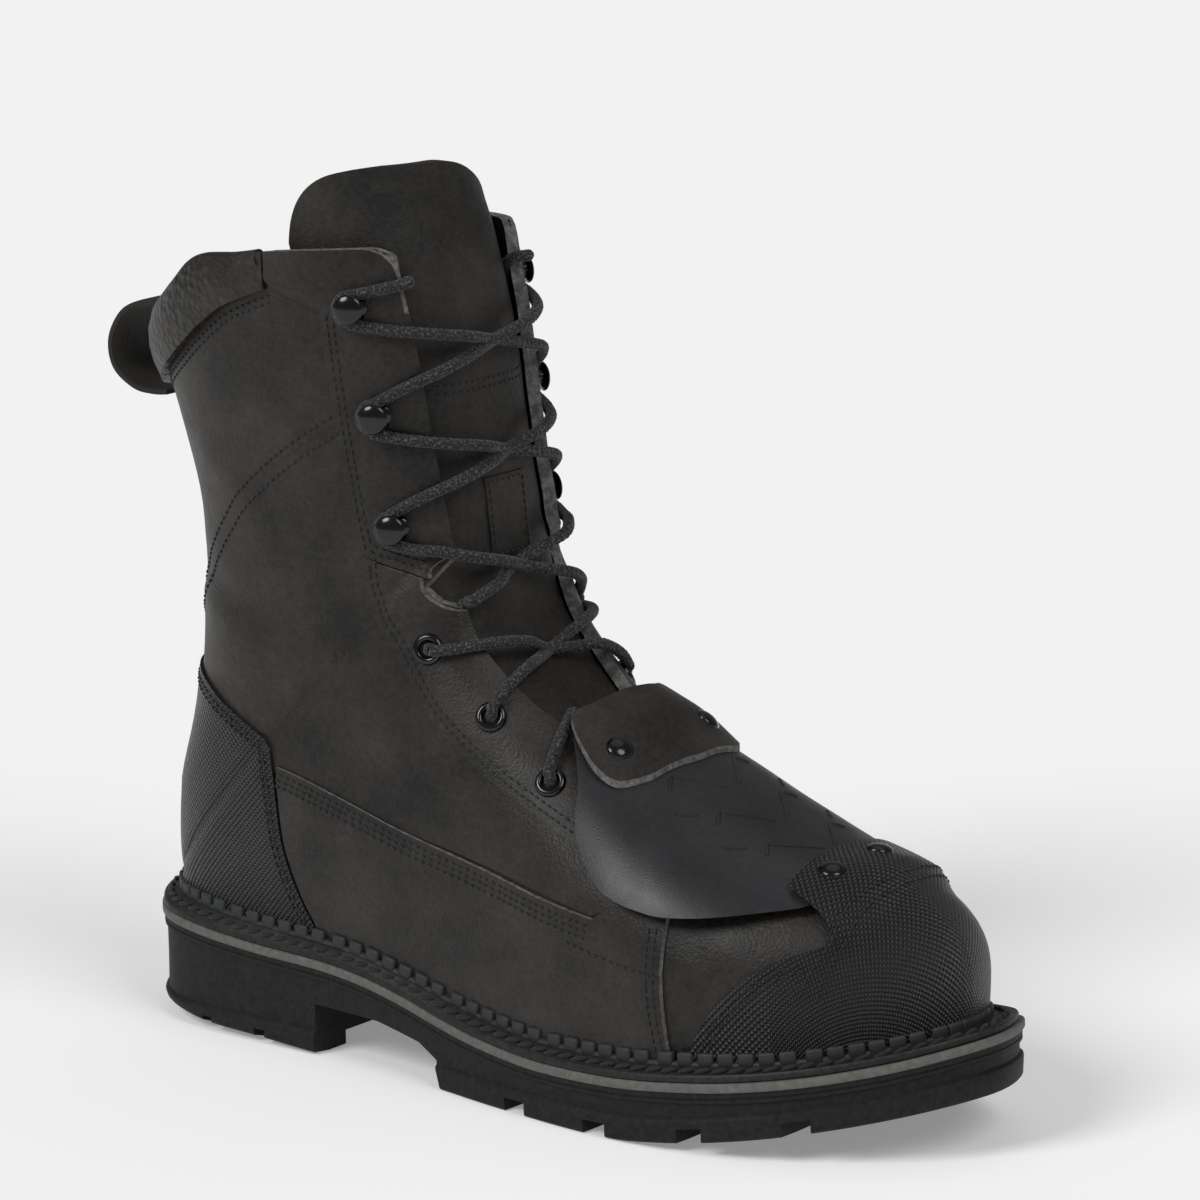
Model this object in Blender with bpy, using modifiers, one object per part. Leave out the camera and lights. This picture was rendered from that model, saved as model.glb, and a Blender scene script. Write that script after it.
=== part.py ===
"""Metatarsal guard boot, right foot: a high laced work boot with a riveted guard plate over the instep.

Sizes are in millimetres and are turned to metres where a mesh is made.
+X points to the toe, +Y to the inner (medial) side and +Z up. The origin is on the floor under the heel.
"""

import math
from collections import namedtuple

import bmesh
import bpy
from mathutils import Matrix, Vector
from mathutils.bvhtree import BVHTree

MM = 0.001
GAP = 0.3
SEAM = 0.45

# Sole
HEEL_BACK = -42.2
TOE_TIP = 274.5
STRIP_THICK = 3.0
WELT_EDGE = 2.6
WELT_CREASE = 1.9
WELT_SHELF = 3.4
RIB_HEIGHT = 4.3
RIB_GAP = 0.8
RIB_THICK = 2.3
COG_PITCH = 7.2
COG_LOW = 1.4
FEATHER_RISE = WELT_EDGE + GAP
LUG_DEPTH = 4.5
BREAST_X = 43.0
ARCH_FRONT_X = 97.0
ARCH_Z = 16.5
HEEL_LUG_DEPTH = 4.0

# Upper
WALL = 2.4
OVERLAY = 1.6
CAP_WALL = 1.8
TONGUE_THICK = 4.0
INSOLE_THICK = 4.0
TONGUE_GAP = 1.2
OVERLAY_GAP = 0.6
SEAT_GAP = 0.8
GUARD_THICK = 2.6
TAB_RISE = 4.5
FLAP_THICK = 1.8
FLAP_RISE = 3.0
COLLAR_PAD = 3.0

# Fittings
EYELET_BORE = 2.3
EYELET_BARREL = 2.9
EYELET_FLANGE = 4.9
HOOK_HEAD = 4.7
HOOK_NECK = 2.2
HOOK_STAND = 7.2
HOOK_LACE = 3.2
EYELET_LACE = 2.3
LACE_R = 1.9
HOOK_TURN = (HOOK_NECK + LACE_R + 0.6) / math.cos(math.radians(22.5))
EYELET_CLEAR = EYELET_FLANGE + 0.8
RIVET_R = 4.2

Edge = namedtuple("Edge", "x lateral medial")
SOLE_EDGE = [
    Edge(-36.8, 18.5, 18.0),
    Edge(-23.5, 33.0, 32.0),
    Edge(-4.0, 39.0, 38.0),
    Edge(20.0, 40.5, 38.8),
    Edge(49.0, 41.0, 37.5),
    Edge(84.0, 44.0, 38.0),
    Edge(124.0, 51.0, 46.5),
    Edge(164.0, 55.5, 54.5),
    Edge(199.0, 54.0, 54.5),
    Edge(226.0, 47.5, 50.0),
    Edge(249.0, 35.0, 40.5),
    Edge(266.0, 18.0, 27.0),
]
TOE_TIP_Y = 3.0

Height = namedtuple("Height", "x z")
STRIP_TOP = [
    Height(-40.3, 35.8),
    Height(-10.0, 34.2),
    Height(20.0, 32.2),
    Height(48.0, 31.0),
    Height(64.0, 29.4),
    Height(81.0, 26.4),
    Height(98.0, 23.0),
    Height(117.0, 20.3),
    Height(142.0, 18.6),
    Height(170.0, 19.4),
    Height(200.0, 22.2),
    Height(230.0, 26.6),
    Height(255.0, 31.8),
    Height(274.5, 37.0),
]
GROUND = [
    Height(-60.0, 0.0),
    Height(150.0, 0.0),
    Height(172.0, 0.2),
    Height(190.0, 2.0),
    Height(215.0, 6.0),
    Height(240.0, 11.0),
    Height(262.0, 16.0),
    Height(290.0, 23.0),
]

EDGE_RISE = [
    Height(-42.0, 6.5),
    Height(-20.0, 4.4),
    Height(-4.0, 2.8),
    Height(20.0, 2.0),
    Height(44.0, 0.8),
    Height(100.0, 0.2),
    Height(200.0, 0.2),
]

Section = namedtuple(
    "Section",
    "swing front_x front_z end_x end_z swell_lateral swell_medial widest front_power back_power bow throat",
)
ON_FEATHER = None
SECTIONS = [
    Section(90, 221, 79.8, 221, ON_FEATHER, 0.8, 0.8, 0.68, 2.1, 2.0, 0, 0),
    Section(60, 221, 79.8, 221, ON_FEATHER, 0.8, 0.8, 0.68, 2.1, 2.0, 0, 0),
    Section(30, 221, 79.8, 221, ON_FEATHER, 1.0, 1.0, 0.68, 2.1, 2.0, 0, 0),
    Section(0, 219, 80.4, 221, ON_FEATHER, 1.4, 1.4, 0.67, 2.2, 2.0, 0, 0),
    Section(0, 203, 83.6, 199, ON_FEATHER, 2.0, 1.8, 0.64, 2.2, 2.0, 0, 0),
    Section(0, 184, 90.6, 176, ON_FEATHER, 2.4, 2.0, 0.64, 2.2, 2.0, 0, 0),
    Section(0, 164, 98.5, 151, ON_FEATHER, 2.8, 2.4, 0.63, 2.3, 2.0, 0, 0),
    Section(0, 147, 104.5, 125, ON_FEATHER, 3.0, 5.4, 0.62, 2.6, 2.0, 0, 11.0),
    Section(0, 133, 111.5, 99, ON_FEATHER, 3.6, 8.4, 0.60, 3.0, 2.0, 0, 17.0),
    Section(0, 120.5, 120.5, 72, ON_FEATHER, 6.0, 11.0, 0.58, 3.3, 2.0, 0, 21.5),
    Section(0, 108.5, 132.5, 46, ON_FEATHER, 7.4, 10.8, 0.56, 3.4, 2.0, 0, 24.0),
    Section(0, 100.5, 144.0, 20, ON_FEATHER, 8.0, 9.6, 0.54, 3.4, 2.0, 0, 25.0),
    Section(0, 97.6, 156.0, -6, ON_FEATHER, 9.6, 10.6, 0.52, 3.3, 2.0, 0, 24.8),
    Section(0, 96.0, 168.0, -24, ON_FEATHER, 20.0, 20.4, 0.50, 3.1, 2.1, 0, 24.8),
    Section(0, 95.4, 174.0, -29.5, ON_FEATHER, 25.8, 26.0, 0.50, 3.0, 2.1, 0, 24.9),
    Section(0, 94.8, 180.0, -32.4, 38.4, 41.0, 41.0, 0.49, 2.9, 2.2, 0, 25.0),
    Section(0, 93.2, 191.0, -33.0, 60, 40.6, 40.6, 0.49, 2.8, 2.2, 0, 25.2),
    Section(0, 91.6, 201.0, -23.4, 93, 40.5, 40.5, 0.49, 2.7, 2.2, 0, 25.6),
    Section(0, 90.0, 211.0, -19.4, 127, 40.8, 40.8, 0.49, 2.6, 2.2, 0, 26.0),
    Section(0, 88.0, 222.0, -19.2, 158, 41.4, 41.4, 0.49, 2.6, 2.2, 1, 26.6),
    Section(0, 85.6, 235.0, -26.2, 186, 42.4, 42.4, 0.49, 2.6, 2.2, 4, 27.2),
    Section(0, 83.2, 248.0, -34.2, 213, 43.6, 43.6, 0.50, 2.5, 2.2, 7, 27.8),
    Section(0, 80.4, 263.0, -35.8, 240, 44.4, 44.4, 0.50, 2.5, 2.2, 8, 28.2),
]
GUARD_SECTIONS = [
    Section(0, 234, 78.2, 234, 45, 36, 39, 1, 2.2, 2, 0, 0),
    Section(0, 221, 80.9, 221, 43, 41.5, 43.5, 1, 2.2, 2, 0, 0),
    Section(0, 212, 83.3, 212, 44, 45.5, 47, 1, 2.2, 2, 0, 0),
    Section(0, 203, 85.9, 203, 45, 50, 51, 1, 2.2, 2, 0, 0),
    Section(0, 184, 93.4, 184, 46, 54, 53, 1, 2.2, 2, 0, 0),
    Section(0, 168, 100.9, 168, 47, 54.5, 53, 1, 2.2, 2, 0, 0),
    Section(0, 152, 108.7, 152, 48, 52.5, 51, 1, 2.2, 2, 0, 0),
    Section(0, 144, 112.5, 144, 48, 51, 50, 1, 2.2, 2, 0, 0),
    Section(0, 130, 118.5, 130, 48, 50, 49, 1, 2.2, 2, 0, 0),
]
TONGUE_SECTIONS = [
    Section(0, 85.6, 235.0, -26.2, 186, 41.6, 41.6, 0.50, 2.6, 2.2, 4, 0),
    Section(0, 82.8, 247.0, -34.2, 213, 40.8, 40.8, 0.50, 2.6, 2.2, 7, 0),
    Section(0, 79.6, 258.0, -35.5, 240, 40.2, 40.2, 0.50, 2.6, 2.2, 6, 0),
    Section(0, 76.4, 266.0, -34.5, 258, 39.6, 39.6, 0.50, 2.6, 2.2, 4, 0),
    Section(0, 73.8, 274.5, -33.0, 271, 39.0, 39.0, 0.50, 2.6, 2.2, 2, 0),
    Section(0, 71.2, 277.4, -32.0, 280, 38.6, 38.6, 0.50, 2.6, 2.2, 1, 0),
]
INSETS = [
    Height(-33.0, 17.6),
    Height(-29.5, 13.1),
    Height(-24.0, 10.5),
    Height(-20.0, 9.0),
    Height(0.0, 7.6),
    Height(60.0, 7.0),
    Height(125.0, 8.0),
    Height(165.0, 8.6),
    Height(215.0, 10.6),
    Height(274.0, 12.4),
]
RIB_TOP = [
    Height(-42.0, 9.8),
    Height(60.0, 9.4),
    Height(120.0, 8.8),
    Height(170.0, 8.4),
    Height(230.0, 7.4),
    Height(274.0, 6.6),
]
WELT_INSET = [
    Height(-42.0, 0.6),
    Height(180.0, 0.6),
    Height(250.0, 1.6),
    Height(274.0, 2.0),
]
RIM = [
    Height(-60.0, 222.0),
    Height(-36.0, 223.5),
    Height(-28.0, 226.5),
    Height(-14.0, 235.0),
    Height(-3.0, 243.2),
    Height(4.0, 248.9),
    Height(10.0, 251.3),
    Height(24.0, 253.0),
    Height(34.5, 255.1),
    Height(60.0, 257.3),
    Height(100.0, 258.6),
]
SECTION_STEPS = 8
LATERAL, MEDIAL = -1, 1
SIDES = {"lateral": LATERAL, "medial": MEDIAL}

# Pattern edges, seen from the side: x forward, z up
CAP_EDGE = [(190.5, 24), (196.4, 31.2), (200.4, 38.2), (206.8, 47.6), (213.8, 54.2), (220.4, 59.1), (227.2, 62.2)]
CAP_NOTCH = [(232.4, 64.2), (234.0, 66.5), (233.4, 70.0), (230.9, 73.2), (228.0, 75.6), (224.6, 77.5)]
CAP_TAB = [(219.5, 79.8), (217.8, 81.4), (218.2, 86), (219, 110), (300, 110), (300, 22)]
COUNTER_EDGE = [(-70, 20), (-70, 117.5), (-22, 117), (-4, 113.6), (10, 108.4), (28, 100.2)]
COUNTER_FRONT = [(30.6, 98), (30.6, 88), (31.2, 77), (33, 65), (38.3, 49.6), (41.6, 42.4)]
GUARD_REAR = [(134, 130), (134, 116), (135.2, 113.3), (140.7, 107.5), (146, 100.4), (149.3, 92.8), (154.6, 85.3)]
GUARD_EDGE = [(160.8, 79.3), (165.6, 75.7), (172.5, 73), (180.7, 71.4), (187.3, 70.7), (198.9, 71.2), (213.9, 73)]
GUARD_FRONT = [(223.5, 74.5), (226.5, 76), (227.5, 84), (224, 100), (200, 130)]
FACING_BACK = [(34.2, 250), (35.9, 244.8), (53.4, 238), (56.9, 211.1), (61.1, 183.3), (64.9, 164.8)]
FACING_FOOT = [(66.3, 163.6), (69.5, 162.1), (78.6, 159.7), (87.1, 157.5), (91.1, 164.2), (130, 190)]
EYESTAY_BACK = [(66, 162.5), (67.5, 152.7), (75.5, 138.1), (92.7, 115.4), (119.5, 97.3), (151.4, 83.9), (160, 80.5)]
EYESTAY_FRONT = [(168, 90), (178, 118), (112, 147.4), (95.5, 147.4), (88.8, 150.2), (85.4, 154)]
EYESTAY_HEAD = [(84.8, 157.4), (78.5, 159), (69.4, 161.4), (67.2, 162.6)]
THROAT_NOTCH = [(85.2, 154.2), (87.2, 157.2), (91.5, 164), (115, 164), (115, 147.3), (95.5, 147.3), (88.8, 150.2)]
QUARTER_TOP = [(32.4, 92), (58.5, 85.7), (82.3, 79.1), (106.4, 74.1), (136.1, 68.6), (160.6, 65.3)]
QUARTER_FRONT = [(164.5, 68.5), (166, 82), (184, 78), (186.2, 67), (187.1, 45), (189.2, 28)]
QUARTER_REAR = [(42.5, 42.4), (39.2, 49.8), (34, 65.2), (32.2, 77), (31.6, 88)]
COLLAR_LINE = [(-80, 196), (-38, 200), (-21, 209.9), (-10, 217), (1.1, 225.3), (10, 231.8), (18.6, 237.1), (33.7, 243.3)]

# Pattern edges, seen from above: x forward, y across
FLAP_FRONT = [(165.5, 0), (164.2, 14), (163, 22), (158.8, 28.9), (155.6, 31.1), (151.5, 31.7), (147.4, 31.2)]
FLAP_REAR = [(142.9, 29.4), (138.1, 26.6), (134.2, 22.8), (136.3, 15.7), (137.2, 8), (137.2, 0)]

HOOKS = [(66, 38.4, 241.3), (68.8, 36.6, 205), (75.2, 35.4, 171.5)]
EYELETS = [(90, 36.0, 137), (111, 33.5, 117.5), (136, 34.0, 102)]
FLAP_RIVETS = [(151.9, -22.3), (151.9, 22.3)]
CAP_RIVETS = [(225.4, -15.0), (227.0, 7.0)]
LACE_TUCK = (77, 24.5, 247)
UNDER_FACING = (96, -19, 147)
UNDER_FLAP = (125.6, -14.5, 114)
LACE_LEAN = [(100, 64), (112, 54), (122, 42), (134, 28), (150, 15), (200, 11), (260, 11)]
THROAT_EDGE = [(102, 9), (107, 16), (117, 21), (130, 24), (145, 25), (200, 25.6), (250, 28)]
TONGUE_LIFT = -0.2
FACING_LIFT = 6.6

LEATHER = (0.030, 0.028, 0.026)
PLATE = (0.045, 0.046, 0.050)
BALLISTIC = (0.020, 0.021, 0.022)
RUBBER = (0.022, 0.023, 0.023)
STRIP = (0.115, 0.108, 0.098)
METAL = (0.030, 0.030, 0.032)
CORD = (0.030, 0.030, 0.030)
WEBBING = (0.012, 0.012, 0.012)
LINING = (0.018, 0.018, 0.018)


# Curves through short tables


def smooth(rows, x):
    """The value of a table at x, on a cubic through its rows that never overshoots them."""
    xs = [r[0] for r in rows]
    ys = [r[1] for r in rows]
    if x <= xs[0]:
        return ys[0]
    if x >= xs[-1]:
        return ys[-1]
    i = max(k for k in range(len(xs) - 1) if xs[k] <= x)
    slopes = [(ys[k + 1] - ys[k]) / (xs[k + 1] - xs[k]) for k in range(len(xs) - 1)]

    def tangent(k):
        if k == 0 or k == len(xs) - 1:
            return slopes[min(k, len(slopes) - 1)]
        before, after = slopes[k - 1], slopes[k]
        return 0 if before * after <= 0 else 2 * before * after / (before + after)

    h = xs[i + 1] - xs[i]
    t = (x - xs[i]) / h
    return (
        ys[i] * (1 + 2 * t) * (1 - t) ** 2
        + ys[i + 1] * t * t * (3 - 2 * t)
        + tangent(i) * h * t * (1 - t) ** 2
        - tangent(i + 1) * h * t * t * (1 - t)
    )


def strip_top(x):
    return smooth(STRIP_TOP, x)


def ground(x):
    return smooth(GROUND, x)


def rib_top(x):
    return strip_top(x) + smooth(RIB_TOP, x)


def rib_foot(x):
    return rib_top(x) - RIB_HEIGHT


def feather(x):
    return strip_top(x) + FEATHER_RISE


def step(low, high, value):
    """Rises smoothly from 0 to 1 as value goes from low to high."""
    t = min(1.0, max(0.0, (value - low) / (high - low)))
    return t * t * (3 - 2 * t)


def catmull(points, per_span, closed=False):
    """A smooth curve through points, as Vectors."""
    points = [Vector(p) for p in points]
    n = len(points)
    spans = n if closed else n - 1
    line = []
    for i in range(spans):
        ring = [points[(i + k) % n] if closed else points[min(max(i + k, 0), n - 1)] for k in (-1, 0, 1, 2)]
        p0, p1, p2, p3 = ring
        for s in range(per_span):
            t = s / per_span
            a, b = (p2 - p0) * 0.5, (p3 - p1) * 0.5
            d = p1 - p2
            line.append(p1 + a * t + (-3 * d - 2 * a - b) * t * t + (2 * d + a + b) * t**3)
    if not closed:
        line.append(points[-1])
    return line


def sole_outline(per_span=2):
    """The sole's edge seen from above, from the heel along the lateral side to the toe and back."""
    lateral = [(e.x, -e.lateral) for e in SOLE_EDGE]
    medial = [(e.x, e.medial) for e in reversed(SOLE_EDGE)]
    return catmull([(HEEL_BACK, 0), *lateral, (TOE_TIP, TOE_TIP_Y), *medial], per_span, closed=True)


OUTLINE = sole_outline(8)


def sole_reach(x, swing, side):
    """How far the sole's edge lies from (x, 0), in the direction turned by swing from the side to the toe."""
    a = math.radians(swing)
    direction = Vector((math.sin(a), side * math.cos(a)))
    across = Vector((-direction.y, direction.x))
    best = 0.0
    for i, p in enumerate(OUTLINE):
        a0 = p - Vector((x, 0))
        b0 = OUTLINE[(i + 1) % len(OUTLINE)] - Vector((x, 0))
        u, v = a0.dot(across), b0.dot(across)
        if u * v <= 0 and u != v:
            hit = a0.lerp(b0, u / (u - v)).dot(direction)
            best = max(best, hit)
    return best


# The upper's own surface


def half_section(row, side, steps, start=None, span=None):
    """Points of one half of a section, from the ridge or the throat edge down to the feather edge or back seam."""
    swing = math.radians(row.swing)
    out = Vector((math.sin(swing), side * math.cos(swing), 0))
    swell = row.swell_lateral if side == LATERAL else row.swell_medial
    if row.end_z is ON_FEATHER:
        reach = sole_reach(row.end_x, row.swing, side)
        end_reach = reach - smooth(INSETS, row.end_x + reach * math.sin(swing))
        end_z = feather(row.end_x + end_reach * math.sin(swing))
    else:
        end_reach, end_z = 0.0, row.end_z
    wide = end_reach + swell
    front = Vector((row.front_x, 0, row.front_z))
    down = Vector((row.end_x, 0, end_z)) - front
    last = math.pi - math.asin(min(1.0, (end_reach / wide) ** (row.back_power / 2)))
    fall = (1 - row.widest) / max(abs(math.cos(last)) ** (2 / row.back_power), 1e-6)
    first = 0.0
    if row.throat > 0 and start is None:
        first = math.asin(min(1.0, (row.throat / wide) ** (row.front_power / 2)))
    if span is not None:
        last = span * math.pi / 2
    points = []
    for j in range(steps + 1):
        angle = first + (last - first) * j / steps
        c, s = math.cos(angle), max(0.0, math.sin(angle))
        power = row.front_power if angle <= math.pi / 2 else row.back_power
        if angle <= math.pi / 2:
            along = row.widest * (1 - abs(c) ** (2 / power))
        else:
            along = row.widest + fall * abs(c) ** (2 / power)
        p = front + down * along + out * wide * s ** (2 / power)
        p.z += row.bow * math.sin(math.pi * min(along, 1.0))
        points.append(p)
    return points


def grid_mesh(columns, name):
    """A mesh of triangles between neighbouring rows of points, with doubles merged and faces turned outwards."""
    bm = bmesh.new()
    for grid in columns:
        verts = [[bm.verts.new(p * MM) for p in row] for row in grid]
        for a, b in zip(verts, verts[1:]):
            for k in range(len(a) - 1):
                bm.faces.new((a[k], a[k + 1], b[k + 1], b[k]))
    bmesh.ops.remove_doubles(bm, verts=bm.verts, dist=0.02 * MM)
    bmesh.ops.dissolve_degenerate(bm, edges=bm.edges, dist=0.01 * MM)
    bmesh.ops.triangulate(bm, faces=bm.faces, quad_method="SHORT_EDGE")
    bmesh.ops.recalc_face_normals(bm, faces=bm.faces)
    return bm


def face_outwards(bm, probe):
    """Turns an open surface over if the face nearest to probe looks back at it."""
    face = max(bm.faces, key=lambda f: f.calc_center_median().dot(probe))
    if face.normal.dot(probe) < 0:
        bmesh.ops.reverse_faces(bm, faces=bm.faces)


def push_out(bm, offset):
    """Moves a surface out along its normals by offset(point) in millimetres."""
    bm.normal_update()
    moved = [(v, v.co + v.normal * offset(v.co / MM) * MM) for v in bm.verts]
    for v, co in moved:
        v.co = co
    return bm


def upper_surface(offset=None, closed=False):
    """The upper's outside as an open surface, moved out along its normals by offset(point) in millimetres."""
    start = 0.0 if closed else None
    grids = [[half_section(row, side, SECTION_STEPS, start) for row in SECTIONS] for side in SIDES.values()]
    bm = grid_mesh(grids, "upper")
    face_outwards(bm, Vector((0, -1, 0)))
    return push_out(bm, offset) if offset else bm


def guard_surface(offset=lambda p: 0.0):
    """The guard's inner face, a form of its own that stands off the vamp."""
    grids = [[half_section(row, side, 7, start=0.0, span=1.0) for row in GUARD_SECTIONS] for side in SIDES.values()]
    bm = grid_mesh(grids, "guard")
    face_outwards(bm, Vector((0, 0, 1)))
    return push_out(bm, offset)


# Making objects

BOOT = bpy.data.collections.new("metatarsal_guard_boot")
CUTTERS = bpy.data.collections.new("cutters")


def material(name, colour, roughness, metallic=0.0):
    made = bpy.data.materials.get(name) or bpy.data.materials.new(name)
    made.use_nodes = True
    shader = made.node_tree.nodes["Principled BSDF"]
    shader.inputs["Base Color"].default_value = (*colour, 1)
    shader.inputs["Roughness"].default_value = roughness
    shader.inputs["Metallic"].default_value = metallic
    return made


def add_object(name, mesh, finish, collection=None):
    obj = bpy.data.objects.new(name, mesh)
    (collection or BOOT).objects.link(obj)
    if finish:
        mesh.materials.append(finish)
    return obj


def from_bmesh(name, bm, finish, collection=None):
    mesh = bpy.data.meshes.new(name)
    bm.to_mesh(mesh)
    bm.free()
    return add_object(name, mesh, finish, collection)


def thicken(obj, thick, outwards=1.0):
    """Gives an open surface its wall, outwards (1) or inwards (-1)."""
    wall = obj.modifiers.new("wall", "SOLIDIFY")
    wall.thickness = thick * MM
    wall.offset = outwards
    wall.use_even_offset = True
    return obj


def combine(obj, other, operation):
    cut = obj.modifiers.new(operation.lower(), "BOOLEAN")
    cut.operation = operation
    cut.solver = "EXACT"
    cut.object = other
    return obj


def as_mesh(obj, collection=None):
    """Replaces a curve object by the closed mesh that it makes."""
    bpy.context.view_layer.update()
    graph = bpy.context.evaluated_depsgraph_get()
    mesh = bpy.data.meshes.new_from_object(obj.evaluated_get(graph))
    bm = bmesh.new()
    bm.from_mesh(mesh)
    bmesh.ops.remove_doubles(bm, verts=bm.verts, dist=0.02 * MM)
    bmesh.ops.recalc_face_normals(bm, faces=bm.faces)
    bm.to_mesh(mesh)
    bm.free()
    made = bpy.data.objects.new(obj.name + "_solid", mesh)
    made.matrix_world = obj.matrix_world
    (collection or BOOT).objects.link(made)
    name = obj.name
    bpy.data.objects.remove(obj)
    made.name = name
    return made


def prism(name, outline, low, high, view="side"):
    """A cutter with the outline of a pattern, seen from the side (x, z) or from above (x, y)."""
    curve = bpy.data.curves.new(name, "CURVE")
    curve.dimensions = "2D"
    curve.fill_mode = "BOTH"
    curve.extrude = (high - low) / 2 * MM
    spline = curve.splines.new("POLY")
    spline.points.add(len(outline) - 1)
    for point, (x, y) in zip(spline.points, outline):
        point.co = (x * MM, y * MM, 0, 1)
    spline.use_cyclic_u = True
    obj = bpy.data.objects.new(name, curve)
    CUTTERS.objects.link(obj)
    middle = (high + low) / 2 * MM
    if view == "side":
        obj.matrix_world = Matrix.Translation((0, middle, 0)) @ Matrix.Rotation(math.pi / 2, 4, "X")
    else:
        obj.matrix_world = Matrix.Translation((0, 0, middle))
    solid = as_mesh(obj, CUTTERS)
    solid.hide_render = True
    solid.display_type = "WIRE"
    return solid


def turned(name, profile, finish, steps=8):
    """A turned solid from a closed profile of (radius, height) points, listed from the top down its outer side."""
    bm = bmesh.new()
    verts = [bm.verts.new((r * MM, 0, z * MM)) for r, z in profile]
    for a, b in zip(verts, verts[1:]):
        bm.edges.new((a, b))
    if profile[0][0] > 0:
        bm.edges.new((verts[-1], verts[0]))
    obj = from_bmesh(name, bm, finish)
    screw = obj.modifiers.new("turn", "SCREW")
    screw.axis = "Z"
    screw.steps = screw.render_steps = steps
    screw.use_merge_vertices = True
    screw.merge_threshold = 0.00001
    screw.use_smooth_shade = True
    return obj


def seat(obj, point, normal):
    """Stands an object made along +Z at a point, along a normal."""
    turn = Vector(normal).to_track_quat("Z", "Y").to_matrix().to_4x4()
    obj.matrix_world = Matrix.Translation(Vector(point) * MM) @ turn
    return obj


def cord_through(name, points, radius, finish):
    """A round cord along points, as a curve with a bevel."""
    curve = bpy.data.curves.new(name, "CURVE")
    curve.dimensions = "3D"
    curve.bevel_depth = radius * MM
    curve.bevel_resolution = 0
    curve.use_fill_caps = True
    spline = curve.splines.new("POLY")
    spline.points.add(len(points) - 1)
    for point, p in zip(spline.points, points):
        point.co = (*(Vector(p) * MM), 1)
    obj = bpy.data.objects.new(name, curve)
    BOOT.objects.link(obj)
    obj.data.materials.append(finish)
    return obj


# Sole


def ring_solid(name, levels, finish):
    """A slab over the sole's outline, through levels of (inset, height function), from the top to the bottom."""
    outline = sole_outline()
    count = len(outline)
    bm = bmesh.new()
    rings = []
    for inset, height in levels:
        ring = []
        for i, p in enumerate(outline):
            along = outline[(i + 1) % count] - outline[i - 1]
            inward = Vector((-along.y, along.x)).normalized()
            q = p + inward * inset
            ring.append(bm.verts.new(Vector((q.x, q.y, height(q.x))) * MM))
        rings.append(ring)
    for upper, lower in zip(rings, rings[1:]):
        for i in range(count):
            k = (i + 1) % count
            bm.faces.new((upper[i], upper[k], lower[k], lower[i]))
    for ring in (rings[0], rings[-1]):
        for i in range(count // 2):
            corners = [ring[i], ring[i + 1], ring[(count - i - 1) % count], ring[(count - i) % count]]
            kept = list(dict.fromkeys(corners))
            if len(kept) > 2:
                bm.faces.new(kept)
    bmesh.ops.recalc_face_normals(bm, faces=bm.faces)
    return from_bmesh(name, bm, finish)


def outsole():
    """The rubber sole: a side panel between two bands, a heel with its breast, and lugs cut from below."""
    levels = [
        (0.7, lambda x: strip_top(x) - STRIP_THICK - GAP),
        (0.7, lambda x: strip_top(x) - STRIP_THICK - 3.2),
        (1.5, lambda x: strip_top(x) - STRIP_THICK - 3.6),
        (1.5, lambda x: ground(x) + LUG_DEPTH + 3.0),
        (0.3, lambda x: ground(x) + LUG_DEPTH + 2.2),
        (1.0, lambda x: ground(x) + smooth(EDGE_RISE, x)),
        (8.0, ground),
    ]
    obj = ring_solid("outsole", levels, material("sole_rubber", RUBBER, 0.7))
    arch = [
        (BREAST_X, -20),
        (BREAST_X, ARCH_Z),
        (70, ARCH_Z - 0.6),
        (88, ARCH_Z - 3.6),
        (ARCH_FRONT_X - 1, ARCH_Z - 7.5),
        (ARCH_FRONT_X + 7, -20),
    ]
    combine(obj, prism("arch_space", arch, -90, 90), "DIFFERENCE")
    combine(obj, tread_cutter(), "DIFFERENCE")
    return obj


def tread_cutter():
    """Grooves between the lugs: side slots, and two long grooves down the forefoot."""
    slots = []
    for x in (131.5, 164.5, 199.0, 232.0):
        for side in SIDES.values():
            slots.append([(x - 4, side * 24), (x + 4, side * 24), (x + 6, side * 80), (x - 3, side * 80)])
    for x in (-24.0, -3.0, 20.0):
        for side in SIDES.values():
            slots.append([(x - 2, side * 24), (x + 2, side * 24), (x + 3.5, side * 80), (x - 2, side * 80)])
    for side in SIDES.values():
        slots.append([(104, side * 19), (246, side * 19), (246, side * 24.5), (104, side * 24.5)])
    slots.append([(-24, -24.5), (BREAST_X + 5, -24.5), (BREAST_X + 5, 24.5), (-24, 24.5)])
    slots.append([(-26, -3), (BREAST_X + 5, -3), (BREAST_X + 5, 3), (-26, 3)])
    heel_pad = prism("heel_pad", [(-17, -17), (17, -17), (17, 17), (-17, 17)], -50, 60, "above")
    band = [(x, ground(x) + LUG_DEPTH) for x in (-60, 60, 150, 172, 190, 215, 240, 262, 290)]
    base = prism("tread_band", band + [(290, -30), (-60, -30)], -100, 100)
    pattern = prism("groove_0", slots[0], -40, 60, "above")
    for k, outline in enumerate(slots[1:], 1):
        combine(pattern, prism(f"groove_{k}", outline, -40 - 0.1 * k, 60 + 0.1 * k, "above"), "UNION")
    combine(pattern, heel_pad, "DIFFERENCE")
    combine(pattern, base, "INTERSECT")
    return pattern


def midsole():
    levels = [
        (0.0, strip_top),
        (0.0, lambda x: strip_top(x) - STRIP_THICK),
    ]
    return ring_solid("midsole_strip", levels, material("midsole_strip", STRIP, 0.75))


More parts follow.
